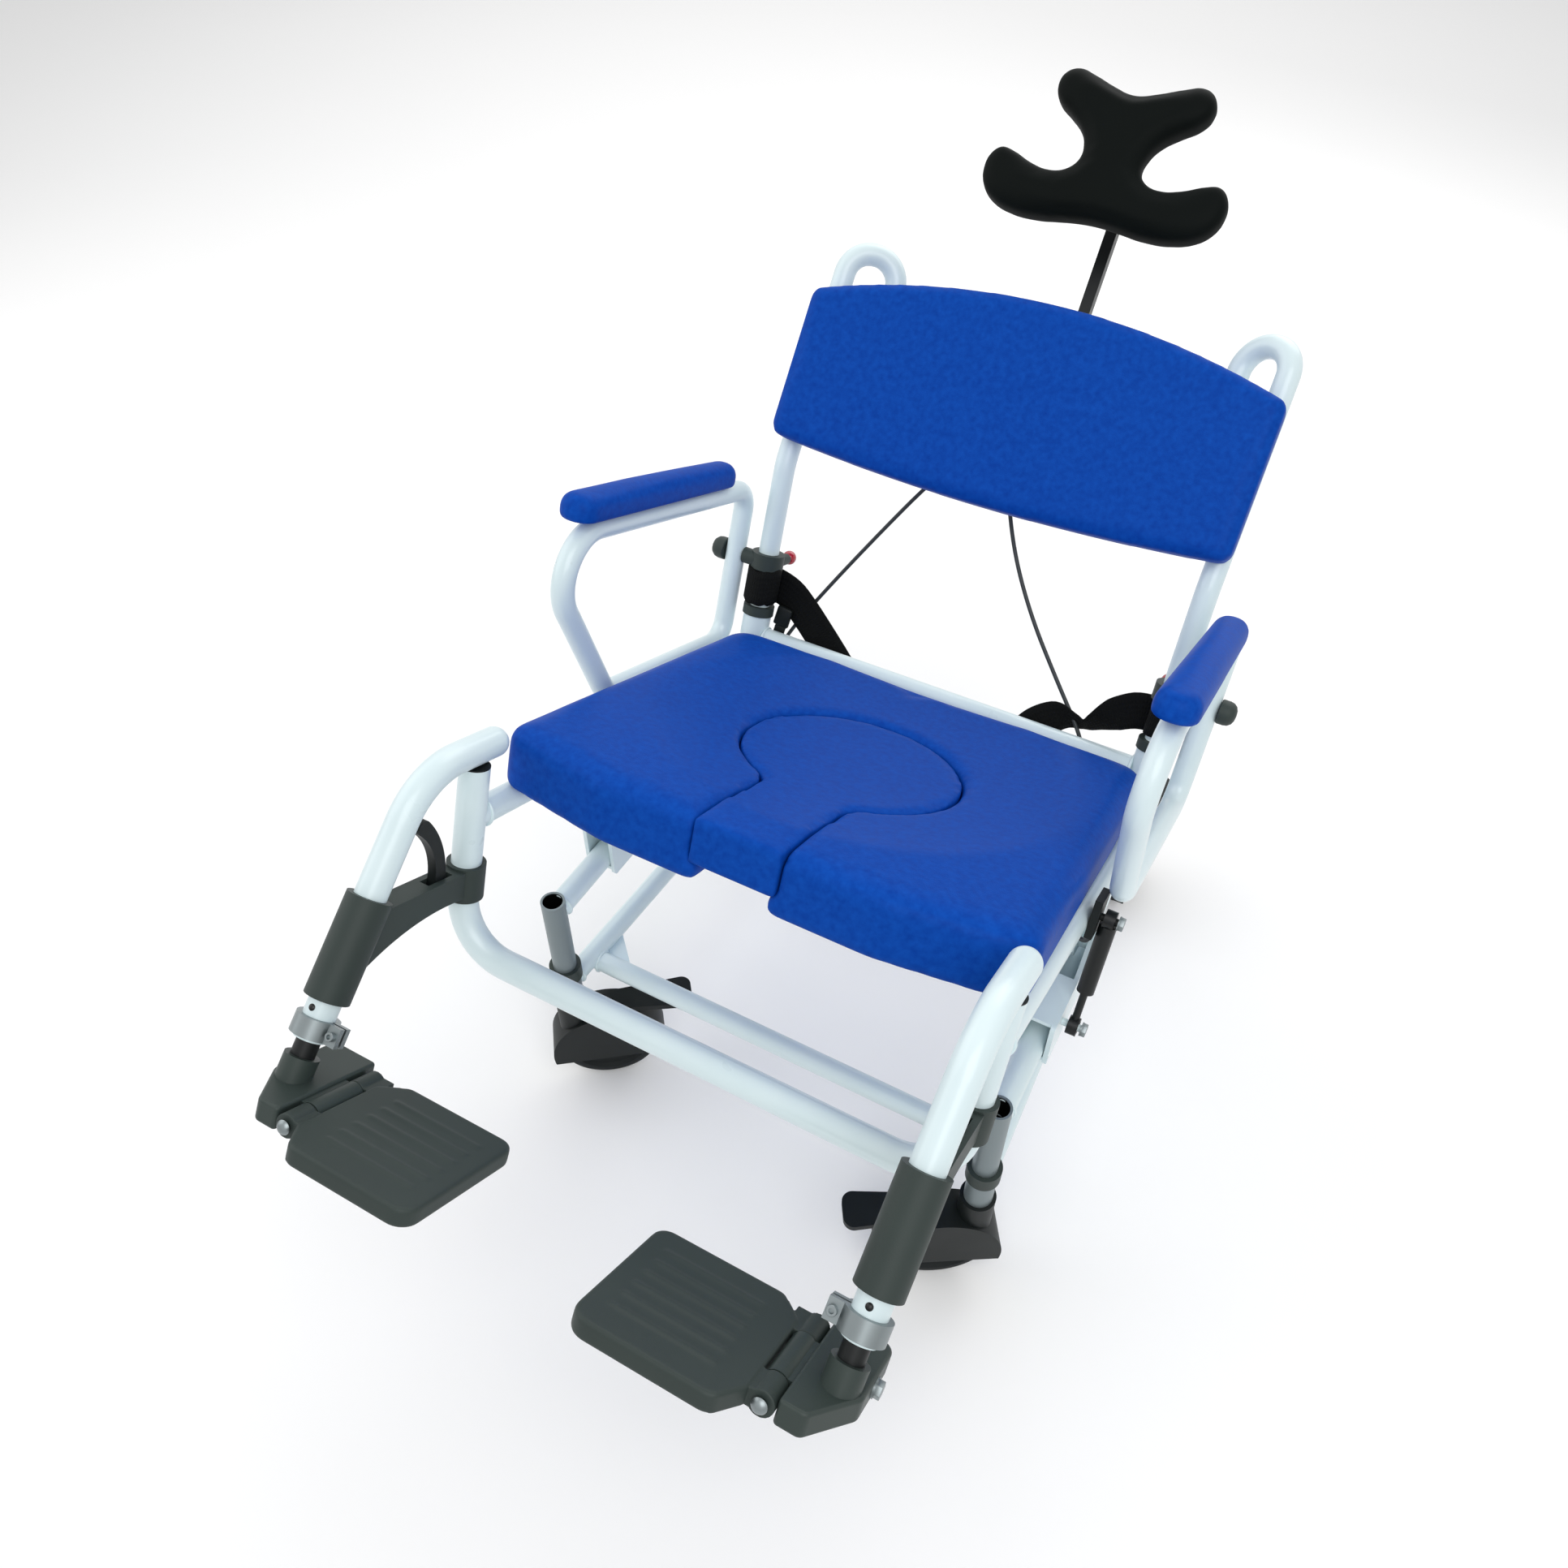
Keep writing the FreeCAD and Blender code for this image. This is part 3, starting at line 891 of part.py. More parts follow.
    ring_low = hanger_point(size.ring_place - size.ring_width / 2)
    ring_high = hanger_point(size.ring_place + size.ring_width / 2)
    band = rod("ring_band", "Sizes.ring_d / 2", ring_low, ring_high)
    slope_turn = Rotation(X_AXIS, size.hanger_slope - 90)
    lug_corner = Vector(-size.ring_lug_reach, -size.ring_lug_width / 2, 0)
    lug = box("ring_lug", "Sizes.ring_lug_length", "Sizes.ring_lug_width", "Sizes.ring_width",
              ring_high + slope_turn.multVec(lug_corner), slope_turn)
    ring_bore = rod("ring_bore", "Sizes.tube_seat / 2 + Sizes.run_gap",
                    hanger_point(size.ring_place - size.ring_d), hanger_point(size.ring_place + size.ring_d))
    slit_low = hanger_point(size.ring_place + 1.5 * size.ring_width)
    slit_corner = Vector(-size.ring_d, -size.ring_slit / 2, 0)
    split = box("ring_split", "Sizes.ring_d - Sizes.tube_seat / 2 + Sizes.cut_over", "Sizes.ring_slit",
                "3 * Sizes.ring_width", slit_low + slope_turn.multVec(slit_corner), slope_turn)
    ring = cut("clamp_ring_left", fuse("ring_body", [band, lug]), fuse("ring_cuts", [ring_bore, split]))
    mirrored(node(ring, "clamp_ring_left", TILT), "clamp_ring_right")

    footplate()


def plate_place():
    """The footplate's own frame: X outward, Y ahead from its rear edge and Z down, through its mid-plane."""
    return Placement(Vector(0, size.plate_rear, size.plate_rear_z), Rotation(X_AXIS, 180 - size.plate_rise))


def on_plate(x, ahead, down=0.0):
    """Point given in the footplate's own frame."""
    return plate_place().multVec(Vector(x, ahead, down))


def plate_box(name, length, width, height, corner):
    """Block set square to the footplate."""
    return box(name, length, width, height, on_plate(*corner), plate_place().Rotation)


def footplate():
    """Sliding tube with its hinge shoe, and the ribbed plate that folds up on the hinge."""
    hinge = size.plate_hinge_x
    depth = size.plate_depth
    half = size.plate_thick / 2
    radius = "Sizes.knuckle_d / 2"
    rear_knuckle = (6, 34)
    shoe_knuckle = (35, 89)
    front_knuckle = (90, 116)

    shoe = padded("hinge_shoe", "XY_Plane", rounded_outline(
        [Vector(size.shoe_in, size.shoe_back, 0), Vector(size.shoe_out, size.shoe_back, 0),
         Vector(size.shoe_out, size.shoe_cut_y, 0), Vector(size.shoe_cut_x, size.shoe_front, 0),
         Vector(size.shoe_in, size.shoe_front, 0)],
        [4, 12, 12, 8, 4]), "Sizes.shoe_thick", -size.shoe_thick / 2)
    rounded(shoe, "shoe_low_edge", "Sizes.plate_round", level_edge(size.shoe_thick / 2))
    rounded(shoe, "shoe_top_edge", "Sizes.plate_round", level_edge(-size.shoe_thick / 2))
    shoe.Placement = plate_place()
    slider = rod("slider_tube", "Sizes.slider_d / 2", hanger_point(size.slider_start),
                 hanger_point(size.slider_end - size.slider_sink))
    boss = rod("slider_boss", "Sizes.boss_d / 2", hanger_point(size.hanger_length + size.boss_start),
               hanger_point(size.slider_end - size.boss_sink))
    joint = rod("shoe_knuckle", radius, on_plate(hinge, shoe_knuckle[0]), on_plate(hinge, shoe_knuckle[1]))
    web = size.knuckle_web
    neck = plate_box("shoe_neck", "Sizes.shoe_in - Sizes.plate_hinge_x + Sizes.neck_lap",
                     f"{shoe_knuckle[1] - shoe_knuckle[0]}", "Sizes.knuckle_web",
                     (hinge, shoe_knuckle[0], -web / 2))
    pin = rod("hinge_pin", "Sizes.hinge_pin_d / 2", on_plate(hinge, rear_knuckle[0] - size.hinge_pin_proud),
              on_plate(hinge, front_knuckle[1] + size.hinge_pin_proud))
    tube = fuse("footplate_tube_left", [slider, boss, shoe, joint, neck, pin])
    mirrored(node(tube, "footplate_tube_left", TILT), "footplate_tube_right")

    slab = padded("footplate_slab", "XY_Plane", rounded_outline(
        [Vector(size.plate_in, 0, 0), Vector(size.plate_out - 6, 0, 0),
         Vector(size.plate_edge, size.plate_rear_cut, 0),
         Vector(size.plate_edge, depth - size.plate_front_cut, 0), Vector(size.plate_out, depth, 0),
         Vector(size.plate_in, depth, 0)],
        [14, 10, 8, 8, 14, 18]), "Sizes.plate_thick", -half)
    rounded(slab, "footplate_low_edge", "Sizes.plate_round", level_edge(half))
    rounded(slab, "footplate_top_edge", "Sizes.plate_round", level_edge(-half))
    slab.Placement = plate_place()
    parts = [slab]
    for name, (first, last) in (("rear", rear_knuckle), ("front", front_knuckle)):
        parts.append(rod(f"{name}_knuckle", radius, on_plate(hinge, first), on_plate(hinge, last)))
        lap = size.plate_edge - size.knuckle_lap
        parts.append(plate_box(f"{name}_knuckle_web", f"{hinge - lap}", f"{last - first}",
                               "Sizes.knuckle_web", (lap, first, -web / 2)))
    for i in range(TREADS):
        corner = (size.plate_in + size.tread_in, size.tread_first + i * size.tread_pitch,
                  -half - size.tread_height)
        parts.append(plate_box(f"tread_{i}", "Sizes.tread_length", "Sizes.tread_width",
                               "2 * Sizes.tread_height", corner))
    bore = rod("knuckle_bore", "Sizes.hinge_pin_d / 2 + Sizes.run_gap", on_plate(hinge, -size.knuckle_d),
               on_plate(hinge, depth))
    left = node(cut("footplate_left", fuse("footplate_body", parts), bore), "footplate_left", TILT)
    mirrored(left, "footplate_right")


def gas_struts():
    """Strut block on the seat rail, cylinder that swings on it and piston rod."""
    x = size.strut_x
    top = Vector(x, size.strut_top_y, size.strut_top_z)
    low = TILT_BACK.multVec(Vector(x, size.strut_low_y, size.strut_low_z))
    down = (low - top).normalize()
    eye = size.strut_eye_width / 2
    rail = size.post_x + size.tube_main / 2 + size.seat_gap
    block_top = size.arm_low_z - size.tube_arm / 2 - size.seat_gap
    block_low = top.z - size.block_drop
    block = box("block_body", f"{x - size.strut_d / 2 - size.block_room - rail}", "Sizes.block_depth",
                f"{block_top - block_low}", Vector(rail, top.y - size.block_depth / 2, block_low))
    pin = rod("block_pin", "Sizes.strut_pin_d / 2", top - X_AXIS * (eye + 2 * size.pin_stub),
              top + X_AXIS * (eye + size.pin_stub))
    left = node(fuse("strut_block_left", [block, pin]), "strut_block_left", TILT)
    mirrored(left, "strut_block_right")
    head = rod("strut_eye", "Sizes.strut_eye_d / 2", top - X_AXIS * eye, top + X_AXIS * eye)
    across = X_AXIS * size.strut_eye_d
    body_end = size.strut_body + size.strut_neck
    tube = rod("strut_tube", "Sizes.strut_d / 2", top + down * size.strut_neck, top + down * body_end)
    eye_bore = rod("strut_eye_bore", "Sizes.strut_pin_d / 2 + Sizes.run_gap", top - across, top + across)
    rod_bore = rod("strut_rod_bore", "Sizes.strut_rod_d / 2 + Sizes.run_gap",
                   top + down * size.rod_bore_start, top + down * (body_end + size.cut_over))
    outer = fuse("strut_outer", [head, tube])
    left = node(cut("strut_cylinder_left", outer, fuse("strut_bores", [eye_bore, rod_bore])),
                "strut_cylinder_left", TILT)
    mirrored(left, "strut_cylinder_right")
    shaft = rod("piston_shaft", "Sizes.strut_rod_d / 2", top + down * size.rod_start, low)
    foot = rod("piston_eye", "Sizes.strut_eye_d / 2", low - X_AXIS * eye, low + X_AXIS * eye)
    foot_bore = rod("piston_eye_bore", "Sizes.strut_pin_d / 2 + Sizes.strut_eye_slack", low - across,
                    low + across)
    left = node(cut("strut_rod_left", fuse("piston_body", [shaft, foot]), foot_bore), "strut_rod_left", TILT)
    mirrored(left, "strut_rod_right")


def waist_straps():
    """Webbing of the waist belt: a wrap round each upright and a tail that drops behind the rear bar."""
    radius = size.tube_back / 2 + size.seat_gap
    behind = size.upright_y + size.tube_main / 2 + size.seat_gap
    half = size.strap_width / 2
    wrap = behind - size.upright_y + size.strap_lap
    for label, side in SIDES.items():
        foot = Vector(side * size.upright_x, size.upright_y, size.strap_z - half)
        outer = cylinder(f"wrap_outer_{label}", f"{wrap}", "Sizes.strap_width", foot)
        inner = cylinder(f"wrap_inner_{label}", f"{radius}", "Sizes.strap_width", foot)
        middle = [Vector(side * px, pz, 0) for px, pz in STRAP_RUNS[label]]
        edges_up, edges_down = [], []
        for i, point in enumerate(middle):
            before = middle[max(i - 1, 0)]
            after = middle[min(i + 1, len(middle) - 1)]
            ahead = (after - before).normalize()
            normal = Vector(-ahead.y, ahead.x, 0) * (half - size.strap_corner)
            edges_up.append(point + normal)
            edges_down.append(point - normal)
        outline = edges_up + edges_down[::-1]
        if side < 0:
            outline = outline[::-1]
        turns = [0] + [size.strap_turn] * (len(middle) - 2) + [size.strap_corner]
        tail = padded(f"tail_{label}", "XZ_Plane", rounded_outline(outline, turns + turns[::-1]),
                      "Sizes.strap_thick", -behind - size.strap_thick)
        strap = cut(f"waist_strap_{label}", fuse(f"strap_body_{label}", [outer, tail]), inner)
        node(strap, f"waist_strap_{label}", TILT)


def release_cables():
    """Cables from the tilt lever down behind the seat and forward under it to the strut blocks."""
    behind = size.upright_y + size.tube_main / 2 + size.cable_d / 2 + size.cable_stand
    rail_in = size.post_x - size.tube_main / 2 - size.cable_d / 2 - size.cable_rail_gap
    block_low = size.strut_top_z - size.block_drop
    lever_y = lean_point(size.back_bar_z) + size.handle_back
    block_x = size.strut_x - size.strut_d / 2 - size.cable_block_gap
    block_y = size.strut_top_y + size.pin_stub
    for label, side in SIDES.items():
        run = CABLE_RUNS[label]
        route = [Vector(size.lever_x + side * size.lever_wall * 4 / 3, lever_y, size.cable_start_z)]
        for i, (px, pz) in enumerate(run):
            share = (i + 1) / len(run)
            route.append(Vector(px, lever_y + (behind - lever_y) * share, pz))
        route.append(Vector(route[-1].x + side * 22, behind, -66))
        for inward, back, z in ((18, 16, -100), (4, 62, -107), (0, 120, -106), (2, 180, -105)):
            route.append(Vector(side * (rail_in - inward), behind - back, z))
        for outward, y, z in ((1, 64, -106), (14, 26, block_low - 18)):
            route.append(Vector(side * (rail_in + outward), size.strut_top_y + y, z))
        route += [Vector(side * block_x, block_y, block_low - 19),
                  Vector(side * block_x, block_y, block_low - size.seat_gap)]
        bends = []
        for before, corner, after in zip(route, route[1:], route[2:]):
            turn = (corner - before).getAngle(after - corner)
            bends.append(0.45 * min((corner - before).Length, (after - corner).Length) / math.tan(turn / 2))
        cable = bent_tube(f"release_cable_{label}", "Sizes.cable_d / 2", route, bends)
        doc.recompute()
        length = bent_path(route, bends).Length
        section = math.pi * (size.cable_d / 2) ** 2
        print(f"release_cable_{label}: length {length:.1f}, radii", " ".join(f"{b:.0f}" for b in bends),
              f"volume over section times length {cable.Shape.Volume / (section * length):.4f}")
        node(cable, f"release_cable_{label}", TILT)


def tilt_lever():
    """Lever mount on the back frame's bar and the lever that pulls both cables."""
    bar = Vector(size.lever_x, lean_point(size.back_bar_z) + size.handle_back, size.back_bar_z)
    grip = size.lever_grip
    hub_half = size.lever_hub_half
    axis = bar + Y_AXIS * size.lever_pin_y
    ring = cylinder("lever_ring", "Sizes.tube_back / 2 + Sizes.lever_wall", "Sizes.lever_grip",
                    bar - X_AXIS * (grip / 2), X_AXIS)
    block = box("lever_block", "Sizes.lever_grip", "Sizes.lever_block_y", "Sizes.lever_block_z",
                bar - Vector(grip / 2, size.lever_block_y / 2, size.lever_block_drop))
    bore = cylinder("lever_bore", "Sizes.tube_back / 2 + Sizes.run_gap", "2 * Sizes.lever_grip",
                    bar - X_AXIS * grip, X_AXIS)
    pin = rod("lever_pin", "Sizes.lever_pin_d / 2", axis - X_AXIS * (grip / 2), axis + X_AXIS * (grip / 2))
    parts = [ring, block, pin]
    for name, offset in (("a", -grip / 2), ("b", grip / 2 - size.lever_ear)):
        parts.append(box(f"lever_ear_{name}", "Sizes.lever_ear", "Sizes.lever_ear_y", "Sizes.lever_ear_z",
                         bar + Vector(offset, size.lever_ear_start, -size.lever_ear_z / 2)))
    node(cut("tilt_lever_mount", fuse("lever_mount_body", parts), bore), "tilt_lever_mount", TILT)
    hub = rod("lever_hub", "Sizes.lever_hub_d / 2", axis - X_AXIS * hub_half, axis + X_AXIS * hub_half)
    blade = box("lever_blade", "2 * Sizes.lever_hub_half", "Sizes.lever_length", "Sizes.lever_blade_z",
                axis - Vector(hub_half, 0, size.lever_blade_z / 2))
    hole = rod("lever_hole", "Sizes.lever_pin_d / 2 + Sizes.run_gap", axis - X_AXIS * grip,
               axis + X_AXIS * grip)
    node(cut("tilt_lever", fuse("lever_body", [hub, blade]), hole), "tilt_lever", TILT)


base_frame()
leg_collars()
tilt_brackets()
tilt_pivot_bolts()
casters()
seat_frame()
post_plugs()
seat_pad()
seat_lid()
back_frame()
upright_collars()
back_panel()
headrest()
armrests()
leg_rests()
gas_struts()
waist_straps()
release_cables()
tilt_lever()
doc.recompute()

for obj in doc.Objects:
    if "Invalid" in obj.State or "Error" in obj.State:
        raise ValueError(f"{obj.Label} failed: {obj.State}")
os.makedirs("parts", exist_ok=True)
for obj in NODES:
    if obj.Shape.isNull() or not obj.Shape.isValid() or not obj.Shape.Solids:
        raise ValueError(f"{obj.Label} has no valid shape")
for obj in NODES:
    obj.Shape.exportStep(f"parts/{obj.Label}.step")
print(len(NODES), "sub-parts written")
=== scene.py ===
import logging
import math
from dataclasses import dataclass
from enum import Enum
from typing import ClassVar

import bmesh
import bpy
from mathutils import Euler, Matrix, Vector


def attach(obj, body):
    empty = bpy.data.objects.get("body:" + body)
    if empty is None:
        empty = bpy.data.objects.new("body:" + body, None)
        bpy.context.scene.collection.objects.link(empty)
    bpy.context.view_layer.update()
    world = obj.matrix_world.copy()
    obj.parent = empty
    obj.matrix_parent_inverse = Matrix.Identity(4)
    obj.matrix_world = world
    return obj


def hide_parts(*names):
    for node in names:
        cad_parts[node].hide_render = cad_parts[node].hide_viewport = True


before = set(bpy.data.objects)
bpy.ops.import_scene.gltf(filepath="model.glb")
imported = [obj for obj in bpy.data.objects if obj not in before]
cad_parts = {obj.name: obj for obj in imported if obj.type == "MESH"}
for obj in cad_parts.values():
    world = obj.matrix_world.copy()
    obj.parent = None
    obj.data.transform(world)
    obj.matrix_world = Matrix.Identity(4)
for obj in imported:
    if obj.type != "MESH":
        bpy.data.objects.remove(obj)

Pair = tuple[float, float]
Point = tuple[float, float, float]
Piece = bpy.types.Object
Socket = bpy.types.NodeSocket
Tree = bpy.types.NodeTree

LOG = logging.getLogger("commode_chair")
MM = 0.001
# Points closer than this many metres are one point.
WELD = 1e-6
# Edges that bend more than this stay sharp on small fittings.
SHARP = math.radians(35)
# Sockets of a colour mix node: its share, its two colours and its result.
MIX_SHARE, MIX_FIRST, MIX_SECOND, MIX_RESULT = 0, 6, 7, 2
# Wave texture scale at which one rib is one unit wide.
RIB_SCALE = 0.157
X_AXIS, Y_AXIS, Z_AXIS = Vector((1, 0, 0)), Vector((0, 1, 0)), Vector((0, 0, 1))


def linear(code: str) -> tuple[float, float, float, float]:
    """Turns an sRGB hex colour into linear RGBA.

    Args:
        code: Colour such as "#1b4fb4".

    Returns:
        The four linear components, opaque.
    """
    parts = [int(code[i:i + 2], 16) / 255 for i in (1, 3, 5)]
    return (*[c / 12.92 if c <= 0.04045 else ((c + 0.055) / 1.055) ** 2.4 for c in parts], 1.0)


def add_node(tree: Tree, kind: str, settings: dict | None = None,
             links: dict | None = None) -> bpy.types.Node:
    """Adds one shader node.

    Args:
        tree: Node tree that takes the node.
        kind: Node type, such as "ShaderNodeTexNoise".
        settings: Attribute names, or input names and numbers, with their values.
        links: Input names or numbers with the output sockets that feed them.

    Returns:
        The new node.
    """
    node = tree.nodes.new(kind)
    for name, value in (settings or {}).items():
        if isinstance(name, str) and hasattr(node, name):
            setattr(node, name, value)
        else:
            node.inputs[name].default_value = value
    for name, socket in (links or {}).items():
        tree.links.new(socket, node.inputs[name])
    return node


@dataclass(frozen=True)
class Finish:
    """A surface with its colour, gloss and fine relief.

    Attributes:
        name: What the material is and how its surface was made.
        colour: Main colour, sRGB hex.
        shade: Colour that it drifts to in broad patches, sRGB hex.
        roughness: Mean roughness.
        metallic: 1 for bare metal.
        grain: Width of the relief's grains in millimetres.
        relief: Height of the relief in millimetres.
        patch: Width of the broad patches in millimetres.
        spread: How much the roughness drifts from patch to patch.
        coat: Weight of a clear coat.
        specular: Strength of the plain reflection, 0.5 for bare plastic.
    """
    name: str
    colour: str
    shade: str
    roughness: float
    metallic: float = 0.0
    grain: float = 1.0
    relief: float = 0.05
    patch: float = 60.0
    spread: float = 0.06
    coat: float = 0.0
    specular: float = 0.5

    def material(self) -> bpy.types.Material:
        """Builds the material once and returns it."""
        made = bpy.data.materials.get(self.name)
        if made:
            return made
        made = bpy.data.materials.new(self.name)
        made.use_nodes = True
        tree = made.node_tree
        shader = tree.nodes["Principled BSDF"]
        place = add_node(tree, "ShaderNodeTexCoord").outputs["Object"]
        drift = add_node(tree, "ShaderNodeTexNoise", {"Scale": 1 / (self.patch * MM), "Detail": 3.0},
                         {"Vector": place}).outputs["Fac"]
        tree.links.new(self.tint(tree, place, drift), shader.inputs["Base Color"])
        rough = add_node(tree, "ShaderNodeMapRange",
                         {"To Min": self.roughness - self.spread, "To Max": self.roughness + self.spread},
                         {"Value": drift})
        tree.links.new(rough.outputs["Result"], shader.inputs["Roughness"])
        tree.links.new(self.surface(tree, place), shader.inputs["Normal"])
        shader.inputs["Metallic"].default_value = self.metallic
        shader.inputs["Coat Weight"].default_value = self.coat
        shader.inputs["Specular IOR Level"].default_value = self.specular
        return made

    def tint(self, tree: Tree, place: Socket, drift: Socket) -> Socket:
        """Colour that drifts between the two hex values.

        Args:
            tree: Node tree of the material.
            place: Object coordinates, not used here.
            drift: Broad patches from 0 to 1.

        Returns:
            Colour socket.
        """
        colours = {"data_type": "RGBA", MIX_FIRST: linear(self.shade), MIX_SECOND: linear(self.colour)}
        return add_node(tree, "ShaderNodeMix", colours, {MIX_SHARE: drift}).outputs[MIX_RESULT]

    def surface(self, tree: Tree, place: Socket) -> Socket:
        """Fine grained relief.

        Args:
            tree: Node tree of the material.
            place: Object coordinates.

        Returns:
            Normal socket.
        """
        grains = add_node(tree, "ShaderNodeTexNoise", {"Scale": 1 / (self.grain * MM), "Detail": 2.0},
                          {"Vector": place})
        bump = add_node(tree, "ShaderNodeBump", {"Distance": self.relief * MM, "Strength": 0.7},
                        {"Height": grains.outputs["Fac"]})
        return bump.outputs["Normal"]


class Webbing(Finish):
    """Woven polyester belt: raised ribs across its length, read from the belt's own UV map in metres."""

    def surface(self, tree: Tree, place: Socket) -> Socket:
        """Ribs of the weave, crossed by finer warp threads.

        Args:
            tree: Node tree of the material.
            place: Object coordinates, not used by the weave.

        Returns:
            Normal socket.
        """
        uv = add_node(tree, "ShaderNodeTexCoord").outputs["UV"]
        scale = RIB_SCALE / (self.grain * MM)
        ribs, warp = [add_node(tree, "ShaderNodeTexWave", {"bands_direction": way, "Scale": size},
                               {"Vector": uv}) for way, size in (("X", scale), ("Y", scale / 2))]
        both = add_node(tree, "ShaderNodeMath", {"operation": "MULTIPLY_ADD", 2: 0.0},
                        {0: ribs.outputs["Fac"], 1: warp.outputs["Fac"]})
        bump = add_node(tree, "ShaderNodeBump", {"Distance": self.relief * MM}, {"Height": both.outputs[0]})
        return bump.outputs["Normal"]


@dataclass(frozen=True)
class ShoedTube(Finish):
    """Dark tube with a moulded shoe, told apart by the distance from the tube's axis.

    Attributes:
        foot: Point on the axis in metres.
        axis: Unit direction of the axis.
        radius: Tube's radius in millimetres.
        skin: Depth in millimetres that still counts as the tube.
        shoe: Colour of the shoe, sRGB hex.
    """
    foot: Point = (0.0, 0.0, 0.0)
    axis: Point = (0.0, 0.0, 1.0)
    radius: float = 11.0
    skin: float = 0.3
    shoe: str = "#313b38"

    def tint(self, tree: Tree, place: Socket, drift: Socket) -> Socket:
        """Tube's colour near its axis and the shoe's beyond it.

        Args:
            tree: Node tree of the material.
            place: Object coordinates.
            drift: Broad patches from 0 to 1.

        Returns:
            Colour socket.
        """
        arm = add_node(tree, "ShaderNodeVectorMath", {"operation": "SUBTRACT", 1: self.foot}, {0: place})
        swing = add_node(tree, "ShaderNodeVectorMath", {"operation": "CROSS_PRODUCT", 1: self.axis},
                         {0: arm.outputs["Vector"]})
        reach = add_node(tree, "ShaderNodeVectorMath", {"operation": "LENGTH"}, {0: swing.outputs["Vector"]})
        limit = (self.radius + self.skin) * MM
        beyond = add_node(tree, "ShaderNodeMath", {"operation": "GREATER_THAN", 1: limit},
                          {0: reach.outputs["Value"]})
        mix = add_node(tree, "ShaderNodeMix", {"data_type": "RGBA", MIX_SECOND: linear(self.shoe)},
                       {MIX_SHARE: beyond.outputs[0], MIX_FIRST: super().tint(tree, place, drift)})
        return mix.outputs[MIX_RESULT]


# Powder coat: a smooth baked skin with faint orange peel and a soft gloss.
ENAMEL = Finish("baked_white_powder_coat", "#dcebee", "#d2e4e8", 0.3, grain=3.0, relief=0.03, coat=0.2)
# Integral-skin polyurethane foam: satin, with a fine leathery mould grain.
BLUE_FOAM = Finish("integral_skin_foam_blue", "#1152b6", "#043590", 0.46, grain=1.2, relief=0.2,
                   patch=7.0, specular=0.04)
# The same foam moulded in black, more matt and worn.
BLACK_FOAM = Finish("integral_skin_foam_black", "#0a0f0e", "#060a09", 0.58, grain=1.6, relief=0.12,
                    specular=0.06)
# Glass-filled nylon: spark-eroded mould texture, dull satin.
GREY_NYLON = Finish("moulded_grey_nylon", "#313b38", "#2a3331", 0.52, grain=0.9, relief=0.12, specular=0.3)
BLACK_NYLON = Finish("moulded_black_nylon", "#111717", "#0c1111", 0.5, grain=0.9, relief=0.1, specular=0.25)
# Bright zinc plate over steel.
ZINC = Finish("zinc_plated_steel", "#8d9597", "#7d8587", 0.38, metallic=0.9, grain=2.0, relief=0.03)
# Silver-grey lacquer over drawn tube.
SILVER = Finish("silver_lacquered_tube", "#7f8a8d", "#747f82", 0.4, metallic=0.5, grain=1.2, relief=0.04)
# Drawn steel tube, black oxide.
BLACK_STEEL = Finish("black_oxide_steel", "#0e1213", "#090c0d", 0.36, grain=2.0, relief=0.03, specular=0.35)
# Painted shade: a near-black lining inside an open tube, standing in for the shade that falls there.
PAINTED_TUBE_SHADE = Finish("painted_shade_tube_inside", "#060707", "#040505", 0.9, grain=2.0, relief=0.03, specular=0.05)
TYRE = Finish("grey_black_tyre_rubber", "#1a1f20", "#141819", 0.7, grain=1.2, relief=0.12, specular=0.25)
RED_KNOB = Finish("glossy_red_knob", "#b8122a", "#a00e24", 0.2, grain=2.0, relief=0.01, coat=0.6)
BELT = Webbing("woven_polyester_belt", "#060808", "#040505", 0.8, grain=1.6, relief=0.5, specular=0.15)
SHEATH = Finish("pvc_cable_sheath", "#2b3032", "#222729", 0.45, grain=1.0, relief=0.03)


class Part(Enum):
    """CAD nodes that keep their own mesh, by the start of their names, with their finishes."""
    FRAME = (ENAMEL, ("base_frame", "seat_frame", "back_frame", "arm_tube", "hanger_left", "hanger_right",
                      "tilt_bracket"))
    LEGS = (SILVER, ("front_legs",))
    GREY = (GREY_NYLON, ("hanger_bracket", "leg_collars", "upright_collars", "arm_bracket"))
    BLACK = (BLACK_NYLON, ("headrest_clamp", "hanger_lever", "strut_block", "tilt_lever", "caster_fork",
                           "brake_pedal", "post_plugs"))
    BRIGHT = (ZINC, ("clamp_ring", "tilt_pivot_bolts"))
    DARK_STEEL = (BLACK_STEEL, ("headrest_stem", "strut_cylinder", "strut_rod"))
    WHEEL = (TYRE, ("caster_wheel",))
    KNOB = (RED_KNOB, ("arm_plunger",))

    @classmethod
    def finish_of(cls, node: str) -> Finish | None:
        """Finish of a CAD node, or None for one that is replaced or dressed elsewhere.

        Args:
            node: CAD node's name.

        Returns:
            The finish whose longest name start fits.
        """
        fits = [(len(start), part.value[0]) for part in cls for start in part.value[1]
                if node.startswith(start)]
        return max(fits, key=lambda fit: fit[0])[1] if fits else None


def dress(piece: Piece, finish: Finish) -> None:
    """Gives a piece one finish all over.

    Args:
        piece: Mesh or curve object.
        finish: Its finish.
    """
    piece.data.materials.clear()
    piece.data.materials.append(finish.material())


def show(name: str, data: bpy.types.ID) -> Piece:
    """Puts new data in the scene as a piece at the origin.

    Args:
        name: Piece name.
        data: Mesh or curve.

    Returns:
        The new object.
    """
    piece = bpy.data.objects.new(name, data)
    bpy.context.scene.collection.objects.link(piece)
    return piece


